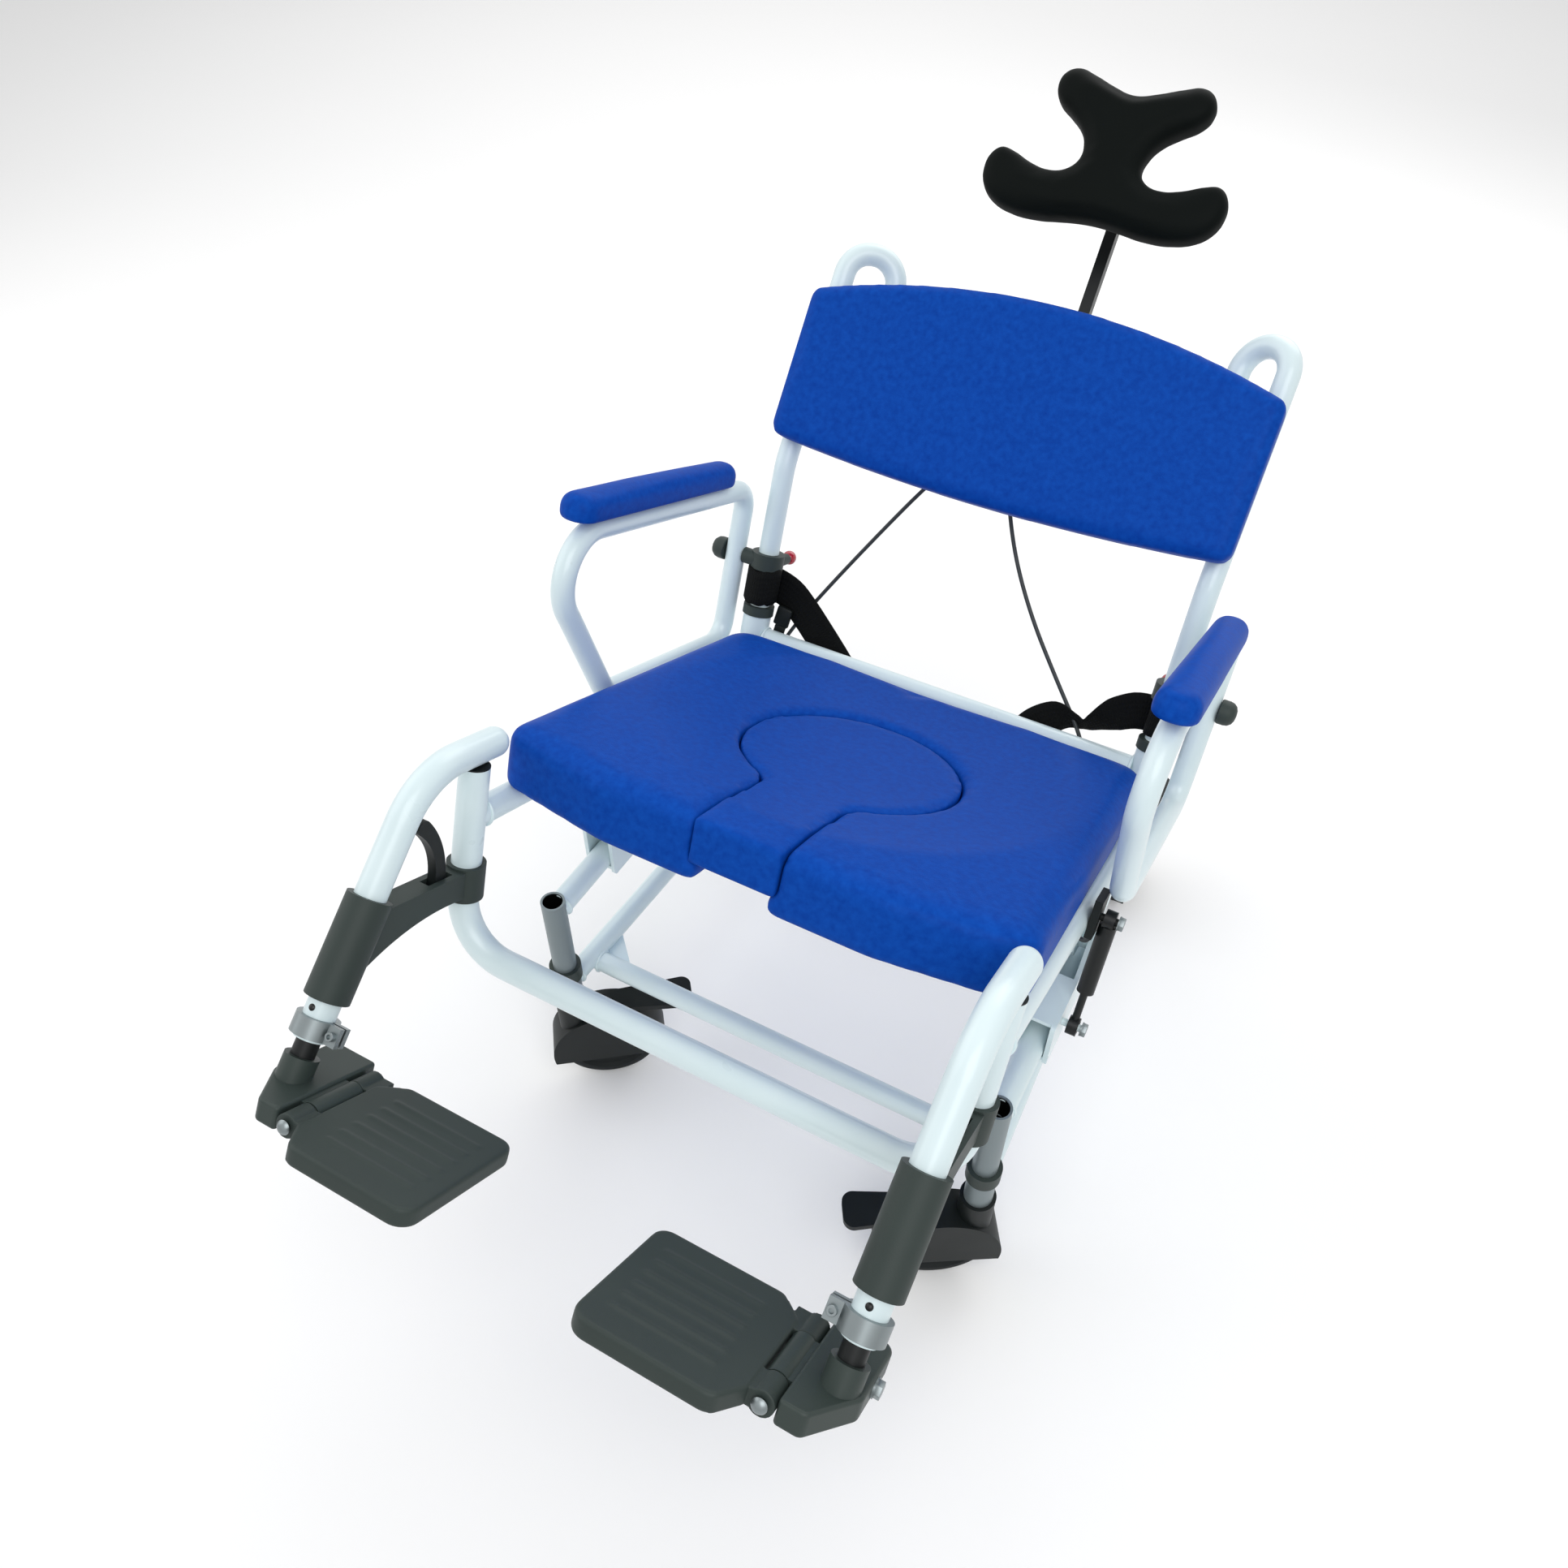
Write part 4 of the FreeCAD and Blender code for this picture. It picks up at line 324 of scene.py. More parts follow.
def smooth(mesh: bpy.types.Mesh) -> None:
    """Shades every face of a mesh smooth."""
    mesh.polygons.foreach_set("use_smooth", [True] * len(mesh.polygons))


def side_name(side: int) -> str:
    """Name of the chair's left, 1, or right, -1."""
    return "left" if side > 0 else "right"


def smooth_line(name: str, points: list[Vector], steps: int) -> bpy.types.Curve:
    """Curve that follows one smooth open line.

    Args:
        name: Curve name.
        points: Control points of the line.
        steps: Steps between two control points.

    Returns:
        The new curve.
    """
    curve = bpy.data.curves.new(name, "CURVE")
    curve.dimensions = "3D"
    spline = curve.splines.new("NURBS")
    spline.points.add(len(points) - 1)
    for point, place in zip(spline.points, points):
        point.co = (*place, 1.0)
    spline.order_u = 3
    spline.use_endpoint_u = True
    spline.resolution_u = steps
    return curve


def traced(name: str, curve: bpy.types.Curve) -> bpy.types.Mesh:
    """Mesh that a curve makes, with the curve's own object taken away again."""
    holder = show(name, curve)
    graph = bpy.context.evaluated_depsgraph_get()
    mesh = bpy.data.meshes.new_from_object(holder.evaluated_get(graph))
    bpy.data.objects.remove(holder)
    return mesh


@dataclass(frozen=True)
class SeatPlace:
    """Turns points of the level seat frame, in millimetres, into the tilted chair's metres.

    Attributes:
        tilt: Backward tilt at rest in degrees.
        pivot: Tilt pivot in the chair's frame.
        pivot_seat: The same pivot in the seat frame.
    """
    tilt: float = 22.0
    pivot: Point = (0.0, -26.1, 383.0)
    pivot_seat: Point = (0.0, 268.0, -140.0)

    def turn(self) -> Matrix:
        """Rotation of the seat frame."""
        return Matrix.Rotation(-math.radians(self.tilt), 3, "X")

    def at(self, x: float, y: float, z: float) -> Vector:
        """Point of the seat frame in metres in the chair's frame."""
        return (Vector(self.pivot) + self.turn() @ (Vector((x, y, z)) - Vector(self.pivot_seat))) * MM

    def along(self, x: float, y: float, z: float) -> Vector:
        """Direction of the seat frame in the chair's frame."""
        return self.turn() @ Vector((x, y, z))


SEAT = SeatPlace()


class Fitting:
    """Small hard piece built up from turned, hexagonal and square solids in the chair's frame."""

    def __init__(self, name: str, finish: Finish, body: str, slot: str) -> None:
        """Starts an empty piece.

        Args:
            name: Piece name.
            finish: Its finish.
            body: Body that carries it.
            slot: Record's material slot, not used.
        """
        self.name, self.finish, self.body, self.slot = name, finish, body, slot
        self.bm = bmesh.new()

    @staticmethod
    def stand(at: Vector, axis: Vector) -> Matrix:
        """Place whose own Z runs along an axis."""
        return Matrix.Translation(at) @ axis.to_track_quat("Z", "Y").to_matrix().to_4x4()

    def turn(self, profile: list[Pair], at: Vector, axis: Vector,
             steps: int = 36) -> "Fitting":
        """Adds a solid turned about an axis.

        Args:
            profile: Radius and height of each point in millimetres; the first point again closes it.
            at: Foot of the axis in metres.
            axis: Direction of the axis.
            steps: Number of facets.

        Returns:
            The fitting itself.
        """
        fresh = [self.bm.verts.new((radius * MM, 0, height * MM)) for radius, height in profile]
        edges = [self.bm.edges.new(pair) for pair in zip(fresh, fresh[1:])]
        old = set(self.bm.verts) - set(fresh)
        bmesh.ops.spin(self.bm, geom=fresh + edges, cent=(0, 0, 0), axis=(0, 0, 1), angle=2 * math.pi,
                       steps=steps, use_merge=True)
        grown = [vert for vert in self.bm.verts if vert not in old]
        bmesh.ops.remove_doubles(self.bm, verts=grown, dist=WELD)
        grown = [vert for vert in self.bm.verts if vert not in old]
        bmesh.ops.transform(self.bm, matrix=self.stand(at, axis), verts=grown)
        return self

    def weld(self, radius: float, at: Vector, axis: Vector) -> "Fitting":
        """Adds a round weld bead about an axis, with its radius in millimetres."""
        bead, facets, steps = 1.7, 10, 48
        angles = [2 * math.pi * i / facets for i in range(facets + 1)]
        return self.turn([(radius + bead * math.cos(a), bead * math.sin(a)) for a in angles], at, axis, steps)

    def hexagon(self, flats: float, height: float, at: Vector, axis: Vector) -> "Fitting":
        """Adds a bolt head or nut, with its width over flats and height in millimetres."""
        middle = at + axis * (height * MM / 2)
        radius = flats * MM / math.sqrt(3)
        made = bmesh.ops.create_cone(self.bm, cap_ends=True, segments=6, radius1=radius, radius2=radius,
                                     depth=height * MM, matrix=self.stand(middle, axis))
        edges = list({edge for vert in made["verts"] for edge in vert.link_edges})
        edge = 0.5
        bmesh.ops.bevel(self.bm, geom=edges, offset=edge * MM, segments=2, profile=0.5, affect="EDGES",
                        material=-1)
        return self

    def nut(self, at: Vector, axis: Vector) -> "Fitting":
        """Adds a nut on its washer, as on the struts' pins."""
        washer, washer_height, flats, height = 7.5, 1.4, 12.5, 6.0
        self.turn([(washer, 0), (washer, washer_height), (0, washer_height)], at, axis)
        return self.hexagon(flats, height, at, axis)

    def block(self, sides: Point, at: Vector, turn: Matrix, edge: float) -> "Fitting":
        """Adds a block with rounded edges, with its sides and edge radius in millimetres."""
        made = bmesh.ops.create_cube(self.bm, size=1.0)["verts"]
        bmesh.ops.scale(self.bm, vec=[side * MM for side in sides], verts=made)
        bmesh.ops.transform(self.bm, matrix=Matrix.Translation(at) @ turn.to_4x4(), verts=made)
        edges = list({e for vert in made for e in vert.link_edges})
        bmesh.ops.bevel(self.bm, geom=edges, offset=edge * MM, segments=3, profile=0.5, affect="EDGES",
                        material=-1)
        return self

    def build(self) -> Piece:
        """Makes and dresses the piece.

        Returns:
            The new piece.
        """
        bmesh.ops.recalc_face_normals(self.bm, faces=self.bm.faces)
        mesh = bpy.data.meshes.new(self.name)
        self.bm.to_mesh(mesh)
        self.bm.free()
        smooth(mesh)
        mesh.set_sharp_from_angle(angle=SHARP)
        piece = show(self.name, mesh)
        dress(piece, self.finish)
        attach(piece, self.body)
        return piece


@dataclass
class BaseFittings:
    """Weld beads, painted shade inside the open front legs and the struts' low nuts, in millimetres.

    Attributes:
        leg: Front leg's X and Y, and the height of its open top.
        rear: Rear leg's X and Y.
        rails: Heights of the upper and lower rails.
        cross: Front cross tube's Y and height.
        rings: Radii of the welds round an upper rail, and round a lower rail or the cross tube.
        gaps: From a leg's axis to the upper weld, the lower weld and the cross tube's weld.
        shift: How far a lower rail's end lies off its leg's axis.
        mouth: Radius of the painted shade inside a leg, and how far below the top it starts and ends.
        pin: Outer end of a strut's low pin.
    """
    leg: Point = (270.0, -236.1, 344.0)
    rear: Pair = (246.0, 363.9)
    rails: Pair = (326.0, 190.0)
    cross: Pair = (-186.1, 182.0)
    rings: Pair = (14.4, 13.0)
    gaps: Point = (12.6, 15.8, 14.5)
    shift: float = 0.6
    mouth: Point = (11.4, 1.5, 106.0)
    pin: Point = (310.4, -114.1, 350.0)

    def build(self) -> list[Piece]:
        """Makes the base's small pieces.

        Returns:
            The new pieces.
        """
        welds = Fitting("weld_beads_base", ENAMEL, "base", "white_enamel")
        # Painted shade: a near-black sleeve down each open front leg, where shade falls inside the tube.
        painted_shade = Fitting("leg_painted_shade", PAINTED_TUBE_SHADE, "base", "dark_plastic")
        nuts = Fitting("strut_low_nuts", ZINC, "base", "steel")
        leg_x, leg_y, leg_top = self.leg
        rear_x, rear_y = self.rear
        high_z, low_z = self.rails
        high_ring, low_ring = self.rings
        high_gap, low_gap, cross_gap = self.gaps
        radius, start, end = self.mouth
        rings = ((high_ring, (leg_x, leg_y + high_gap, high_z), Y_AXIS),
                 (low_ring, (leg_x - self.shift, leg_y + low_gap, low_z), Y_AXIS),
                 (low_ring, (rear_x + self.shift, rear_y - low_gap, low_z), Y_AXIS),
                 (low_ring, (leg_x - cross_gap, *self.cross), X_AXIS))
        for side in (1, -1):
            for ring, (x, y, z), axis in rings:
                welds.weld(ring, Vector((side * x, y, z)) * MM, axis)
            painted_shade.turn([(radius, -start), (radius, -end), (0.0, -end)],
                         Vector((side * leg_x, leg_y, leg_top)) * MM, Z_AXIS)
            nuts.nut(Vector((side * self.pin[0], *self.pin[1:])) * MM, X_AXIS * side)
        return [piece.build() for piece in (welds, painted_shade, nuts)]


@dataclass
class SeatFittings:
    """Weld beads, caps on the armrest pivots and the struts' top nuts, in the seat frame's millimetres.

    Attributes:
        arm: Foot of the cap on an armrest's pivot.
        cap: Radius and height of each point of that cap.
        ring: Radius of the welds.
        bar_end: Weld at the end of the rear crossbar.
        rail_end: Weld at the front end of a side rail.
        pin: Outer end of a strut's top pin.
    """
    arm: Point = (316.9, 466.0, 81.0)
    cap: tuple[Pair, ...] = (
        (0, 19), (6, 18.4), (10.2, 16.4), (13, 12.8), (14, 8.5), (14, 1), (13.2, 0), (0, 0))
    ring: float = 14.4
    bar_end: Point = (244.0, 474.0, -20.0)
    rail_end: Point = (270.0, -59.0, -82.0)
    pin: Point = (310.4, 200.0, -74.0)

    def build(self) -> list[Piece]:
        """Makes the seat's small pieces.

        Returns:
            The new pieces.
        """
        welds = Fitting("weld_beads_seat", ENAMEL, "seat", "white_enamel")
        caps = Fitting("arm_pivot_caps", GREY_NYLON, "seat", "dark_plastic")
        nuts = Fitting("strut_top_nuts", ZINC, "seat", "steel")
        for side in (1, -1):
            bar, rail, arm, pin = [SEAT.at(side * place[0], *place[1:])
                                   for place in (self.bar_end, self.rail_end, self.arm, self.pin)]
            welds.weld(self.ring, bar, X_AXIS)
            welds.weld(self.ring, rail, SEAT.along(0, 1, 0))
            caps.turn(list(self.cap), arm, X_AXIS * side)
            nuts.nut(pin, X_AXIS * side)
        return [piece.build() for piece in (welds, caps, nuts)]


@dataclass
class LegRestFittings:
    """Screw of the clamp ring, spring button of the hanger, and the hinge's rivets and bolt.

    Attributes:
        side: 1 for the chair's left, -1 for its right.
        post_x: Hanger's X in millimetres.
        corner: Y and height of the hanger's upper corner in the seat frame.
        slope: Slope of the hanger's long run in degrees.
        ring_place: Clamp ring's place along that run.
        screw_at: Ring screw's place out from the run and in from the hanger.
        button_gap: From the ring up to the spring button.
        button_out: From the hanger's axis to the button.
        hinge_x: Footplate hinge's X.
        hinge_ends: Places of the hinge's two rivets along the plate.
        bolt_at: X and place along the plate of the shoe's bolt.
        plate: Y and height of the plate's rear edge.
        plate_rise: Slope of the plate in degrees.
    """
    side: int
    post_x: float = 270.0
    corner: Pair = (-149.0, -10.0)
    slope: float = 60.0
    ring_place: float = 240.0
    screw_at: Pair = (7.0, 25.0)
    button_gap: float = 17.0
    button_out: float = 14.6
    hinge_x: float = 228.0
    hinge_ends: Pair = (119.0, 3.0)
    bolt_at: Pair = (290.0, 38.0)
    plate: Pair = (-229.0, -283.0)
    plate_rise: float = 12.3

    def on_hanger(self, along: float, out: float, inward: float = 0.0) -> Vector:
        """Point by the hanger's sloping run, in metres."""
        slope = math.radians(self.slope)
        y = self.corner[0] - along * math.cos(slope) - out * math.sin(slope)
        z = self.corner[1] - along * math.sin(slope) + out * math.cos(slope)
        return SEAT.at(self.side * (self.post_x - inward), y, z)

    def on_plate(self, x: float, ahead: float) -> Vector:
        """Point on the footplate's mid-plane, in metres."""
        rise = math.radians(self.plate_rise)
        return SEAT.at(self.side * x, self.plate[0] - ahead * math.cos(rise),
                       self.plate[1] + ahead * math.sin(rise))

    def build(self) -> list[Piece]:
        """Makes the leg rest's small pieces.

        Returns:
            The new pieces.
        """
        name = side_name(self.side)
        out = X_AXIS * self.side
        ahead = (self.on_hanger(0, 1) - self.on_hanger(0, 0)).normalized()
        screw = Fitting(f"ring_screw_{name}", ZINC, f"leg_rest_{name}", "steel")
        screw.turn([(0, 2), (2.2, 2), (2.2, 4.6), (4, 4.6), (4.3, 4.2), (4.3, 0), (0, 0)],
                   self.on_hanger(self.ring_place, *self.screw_at), ahead)
        button = Fitting(f"spring_button_{name}", BLACK_STEEL, f"leg_rest_{name}", "dark_plastic")
        button.turn([(0, 2.2), (2.0, 1.8), (3.2, 0.6), (3.2, -1.5), (0, -1.5)],
                    self.on_hanger(self.ring_place - self.button_gap, self.button_out), ahead)
        hinge = Fitting(f"hinge_bolts_{name}", ZINC, f"foot_tube_{name}", "steel")
        along = (self.on_plate(0, 1) - self.on_plate(0, 0)).normalized()
        for end, axis in zip(self.hinge_ends, (along, -along)):
            hinge.turn([(0, 3.4), (3.5, 2.8), (6, 1.2), (6.8, 0), (0, 0)],
                       self.on_plate(self.hinge_x, end), axis)
        bolt = self.on_plate(*self.bolt_at)
        hinge.turn([(8.5, -0.3), (8.5, 1.5), (0, 1.5)], bolt, out).hexagon(13.0, 6.5, bolt, out)
        down = (self.on_hanger(1, 0) - self.on_hanger(0, 0)).normalized()
        skin = ShoedTube(f"black_tube_in_nylon_shoe_{name}", "#0e1213", "#090c0d", 0.45, grain=0.9,
                         relief=0.1, specular=0.3, foot=tuple(self.on_hanger(0, 0)), axis=tuple(down))
        dress(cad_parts[f"footplate_tube_{name}"], skin)
        return [piece.build() for piece in (screw, button, hinge)]


@dataclass
class Moulding:
    """A moulded piece with soft edges, made from its CAD solid.

    Attributes:
        node: CAD node that it replaces.
        body: Body that carries it.
        finish: Its skin.
        slot: Record's material slot, not used.
        voxel: Grid of the remesh in millimetres.
        face: Direction that its main face looks, in the chair's frame.
        rounds: Rounds of smoothing.
        levels: Levels of subdivision after the smoothing.
    """
    levels: ClassVar[int] = 1
    node: str
    body: str
    finish: Finish
    slot: str
    voxel: float
    face: Vector
    rounds: int

    def build(self) -> Piece:
        """Makes and dresses the piece.

        Returns:
            The new piece.
        """
        piece = show(f"moulded_{self.node}", self.blank())
        self.remesh(piece)
        self.hug(piece)
        self.swell_up(piece)
        self.soften(piece)
        dress(piece, self.finish)
        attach(piece, self.body)
        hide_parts(self.node)
        return piece

    def swell_up(self, piece: Piece) -> None:
        """Leaves a hard piece as it is."""

    def softened(self, bm: bmesh.types.BMesh) -> list[bmesh.types.BMVert]:
        """Points that are smoothed."""
        return list(bm.verts)

    def blank(self) -> bpy.types.Mesh:
        """Copy of the CAD mesh with its loose triangles joined."""
        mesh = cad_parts[self.node].data.copy()
        mesh.materials.clear()
        bm = bmesh.new()
        bm.from_mesh(mesh)
        bmesh.ops.remove_doubles(bm, verts=bm.verts, dist=WELD)
        bm.to_mesh(mesh)
        bm.free()
        return mesh

    @staticmethod
    def bake(piece: Piece) -> None:
        """Applies all modifiers of a piece to its mesh."""
        graph = bpy.context.evaluated_depsgraph_get()
        mesh = bpy.data.meshes.new_from_object(piece.evaluated_get(graph))
        piece.modifiers.clear()
        piece.data = mesh

    def remesh(self, piece: Piece) -> None:
        """Gives the piece an even grid of quads, square to its main face."""
        level = self.face.rotation_difference(Z_AXIS).to_matrix().to_4x4()
        piece.data.transform(level)
        grid = piece.modifiers.new("grid", "REMESH")
        grid.mode = "VOXEL"
        grid.voxel_size = self.voxel * MM
        self.bake(piece)
        piece.data.transform(level.inverted())

    def hug(self, piece: Piece) -> None:
        """Lays the grid on the CAD surface."""
        wrap = piece.modifiers.new("wrap", "SHRINKWRAP")
        wrap.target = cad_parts[self.node]
        wrap.wrap_method = "NEAREST_SURFACEPOINT"
        self.bake(piece)

    def soften(self, piece: Piece) -> None:
        """Smooths the grid and subdivides it."""
        bm = bmesh.new()
        bm.from_mesh(piece.data)
        soft = self.softened(bm)
        for _ in range(self.rounds):
            bmesh.ops.smooth_vert(bm, verts=soft, factor=0.5, use_axis_x=True, use_axis_y=True,
                                  use_axis_z=True)
        bm.to_mesh(piece.data)
        bm.free()
        smooth(piece.data)
        if self.levels:
            fine = piece.modifiers.new("fine", "SUBSURF")
            fine.levels = fine.render_levels = self.levels


@dataclass
class FoamPiece(Moulding):
    """A foam pad, swollen by its own pressure.

    Attributes:
        swell: Farthest that a point may rise in millimetres.
        fill: How full it is, from 0 to 1; not used.
        pressure: Pressure of the cloth run.
        steps: Frames of the cloth run.
    """
    pressure: ClassVar[float] = 4.0
    steps: ClassVar[int] = 20
    swell: float
    fill: float

    def build(self) -> Piece:
        """Returns:
            The new piece.
        """
        piece = super().build()
        piece.name = f"foam_{self.node}"
        return piece

    def swell_up(self, piece: Piece) -> None:
        """Inflates the pad in a full run."""
        self.inflate(piece)

    def inflate(self, piece: Piece) -> None:
        """Blows the pad up with cloth pressure and keeps a capped part of it on the cushioned face."""
        rest = [vertex.co.copy() for vertex in piece.data.vertices]
        normals = [vertex.normal.copy() for vertex in piece.data.vertices]
        cloth = piece.modifiers.new("skin", "CLOTH")
        cloth.settings.use_pressure = True
        cloth.settings.uniform_pressure_force = self.pressure
        cloth.settings.effector_weights.gravity = 0.0
        scene = bpy.context.scene
        for step in range(self.steps):
            scene.frame_set(step + 1)
        graph = bpy.context.evaluated_depsgraph_get()
        blown = piece.evaluated_get(graph).to_mesh()
        moved = [vertex.co.copy() for vertex in blown.vertices]
        piece.modifiers.clear()
        scene.frame_set(1)
        cap = self.swell * MM
        for vertex, start, end, normal in zip(piece.data.vertices, rest, moved, normals):
            rise = (end - start).dot(normal)
            share = max(0.0, normal.dot(self.face)) ** 2
            vertex.co = start + normal * (share * max(-cap / 2, min(cap, rise)))


@dataclass
class FootPlate(Moulding):
    """Footplate with softened edges and shallow treads, left true to the CAD solid at its hinge.

    Attributes:
        tread_end: Farthest from the chair's middle that it is smoothed, in millimetres.
    """
    levels: ClassVar[int] = 0
    tread_end: float = 200.0

    def softened(self, bm: bmesh.types.BMesh) -> list[bmesh.types.BMVert]:
        """Points of the plate itself, short of its hinge."""
        return [vert for vert in bm.verts if abs(vert.co.x) < self.tread_end * MM]


@dataclass
class HeadPad(FoamPiece):
    """Butterfly-shaped head pad, drawn from the outline of its left half.

    Attributes:
        half: Outline from the middle of the top edge to that of the bottom edge, in millimetres.
        edge: Radius of its rounded rim in millimetres.
        middle: Pad's middle in the seat frame.
    """
    half: tuple[Pair, ...] = (
        (0, 51), (25, 57), (50, 66), (72, 71), (87, 62), (89.5, 46), (81, 32), (64, 20), (47, 6), (38, -9),
        (36, -28), (46, -41), (65, -46), (87, -42), (111, -33), (127, -31), (138, -42), (140, -58),
        (134, -75), (120, -88), (92, -97), (60, -98), (28, -94), (0, -92))
    edge: float = 14.0
    middle: Point = (0.0, 625.0, 617.0)

    def blank(self) -> bpy.types.Mesh:
        """Fills the outline and rounds its rim, as deep as the CAD pad."""
        depths = [vertex.co.dot(self.face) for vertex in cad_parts[self.node].data.vertices]
        rear, front = min(depths), max(depths)
        curve = bpy.data.curves.new("head_outline", "CURVE")
        curve.dimensions = "2D"
        curve.fill_mode = "BOTH"
        curve.bevel_depth = self.edge * MM
        curve.bevel_resolution = 6
        curve.extrude = (front - rear) / 2 - curve.bevel_depth
        curve.offset = -curve.bevel_depth
        outline = [*self.half, *((-x, z) for x, z in reversed(self.half[1:-1]))]
        spline = curve.splines.new("BEZIER")
        spline.bezier_points.add(len(outline) - 1)
        spline.use_cyclic_u = True
        for point, (x, z) in zip(spline.bezier_points, outline):
            point.co = (x * MM, z * MM, 0)
            point.handle_left_type = point.handle_right_type = "AUTO"
        mesh = traced("head_outline", curve)
        turn = Matrix((X_AXIS, self.face.cross(X_AXIS), self.face)).transposed()
        middle = SEAT.at(*self.middle)
        middle += self.face * ((front + rear) / 2 - middle.dot(self.face))
        mesh.transform(Matrix.Translation(middle) @ turn.to_4x4())
        return mesh

    def hug(self, piece: Piece) -> None:
        """Keeps the drawn outline as it is."""


@dataclass
class ReleaseCable:
    """Cable from the tilt lever down behind the seat and under it to a strut block.

    Attributes:
        side: 1 for the chair's left, -1 for its right.
        run: Points behind the seat, as X and Z in the seat frame.
        length: Length of the cable in metres; not used.
        diameter: Its thickness in millimetres.
        lever: Point of the lever between the cables' starts, in the seat frame.
        behind: Y of the cable behind the seat.
        rail_in: X of its run along the seat rail.
        block_x: X at which it enters the strut block.
        strut_top_y: Y of the strut's top pin.
    """
    side: int
    run: tuple[Pair, ...]
    length: float
    diameter: float = 5.0
    lever: Point = (-36.0, 548.2, 299.0)
    behind: float = 495.0
    rail_in: float = 249.5
    block_x: float = 289.0
    strut_top_y: float = 200.0

    def route(self) -> list[Vector]:
        """Points of the cable's own line, in metres."""
        x, y, z = self.lever
        start_gap, bend_out, bend_z = 8, 22, -66
        points = [(x + self.side * start_gap, y, z)]
        for i, (x, z) in enumerate(self.run, start=1):
            points.append((x, y + (self.behind - y) * i / len(self.run), z))
        points.append((points[-1][0] + self.side * bend_out, self.behind, bend_z))
        for inward, ahead, z in ((18, 16, -100), (4, 62, -107), (0, 120, -106), (2, 180, -105)):
            points.append((self.side * (self.rail_in - inward), self.behind - ahead, z))
        for outward, back, z in ((1, 64, -106), (14, 26, -112)):
            points.append((self.side * (self.rail_in + outward), self.strut_top_y + back, z))
        points += [(self.side * self.block_x, self.strut_top_y + 3, z) for z in (-113, -94.3)]
        return [SEAT.at(*point) for point in points]

    def build(self) -> Piece:
        """Returns:
            The new piece.
        """
        name = side_name(self.side)
        points = self.route()
        curve = smooth_line(f"cable_{name}", points, 8)
        curve.bevel_depth = self.diameter * MM / 2
        curve.bevel_resolution = 4
        curve.use_fill_caps = True
        piece = show(f"cable_{name}", curve)
        dress(piece, SHEATH)
        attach(piece, "seat")
        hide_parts(f"release_cable_{name}")
        return piece


@dataclass(frozen=True)
class BeltPoint:
    """One point of a belt's tail.

    Attributes:
        x: Distance out from the chair's middle in millimetres.
        y: Distance behind the seat frame's origin.
        z: Height in the seat frame.
        half: Half of the width there.
        twist: Turn of the webbing about its own run in degrees.
    """
    x: float
    y: float
    z: float
    half: float
    twist: float = 0.0


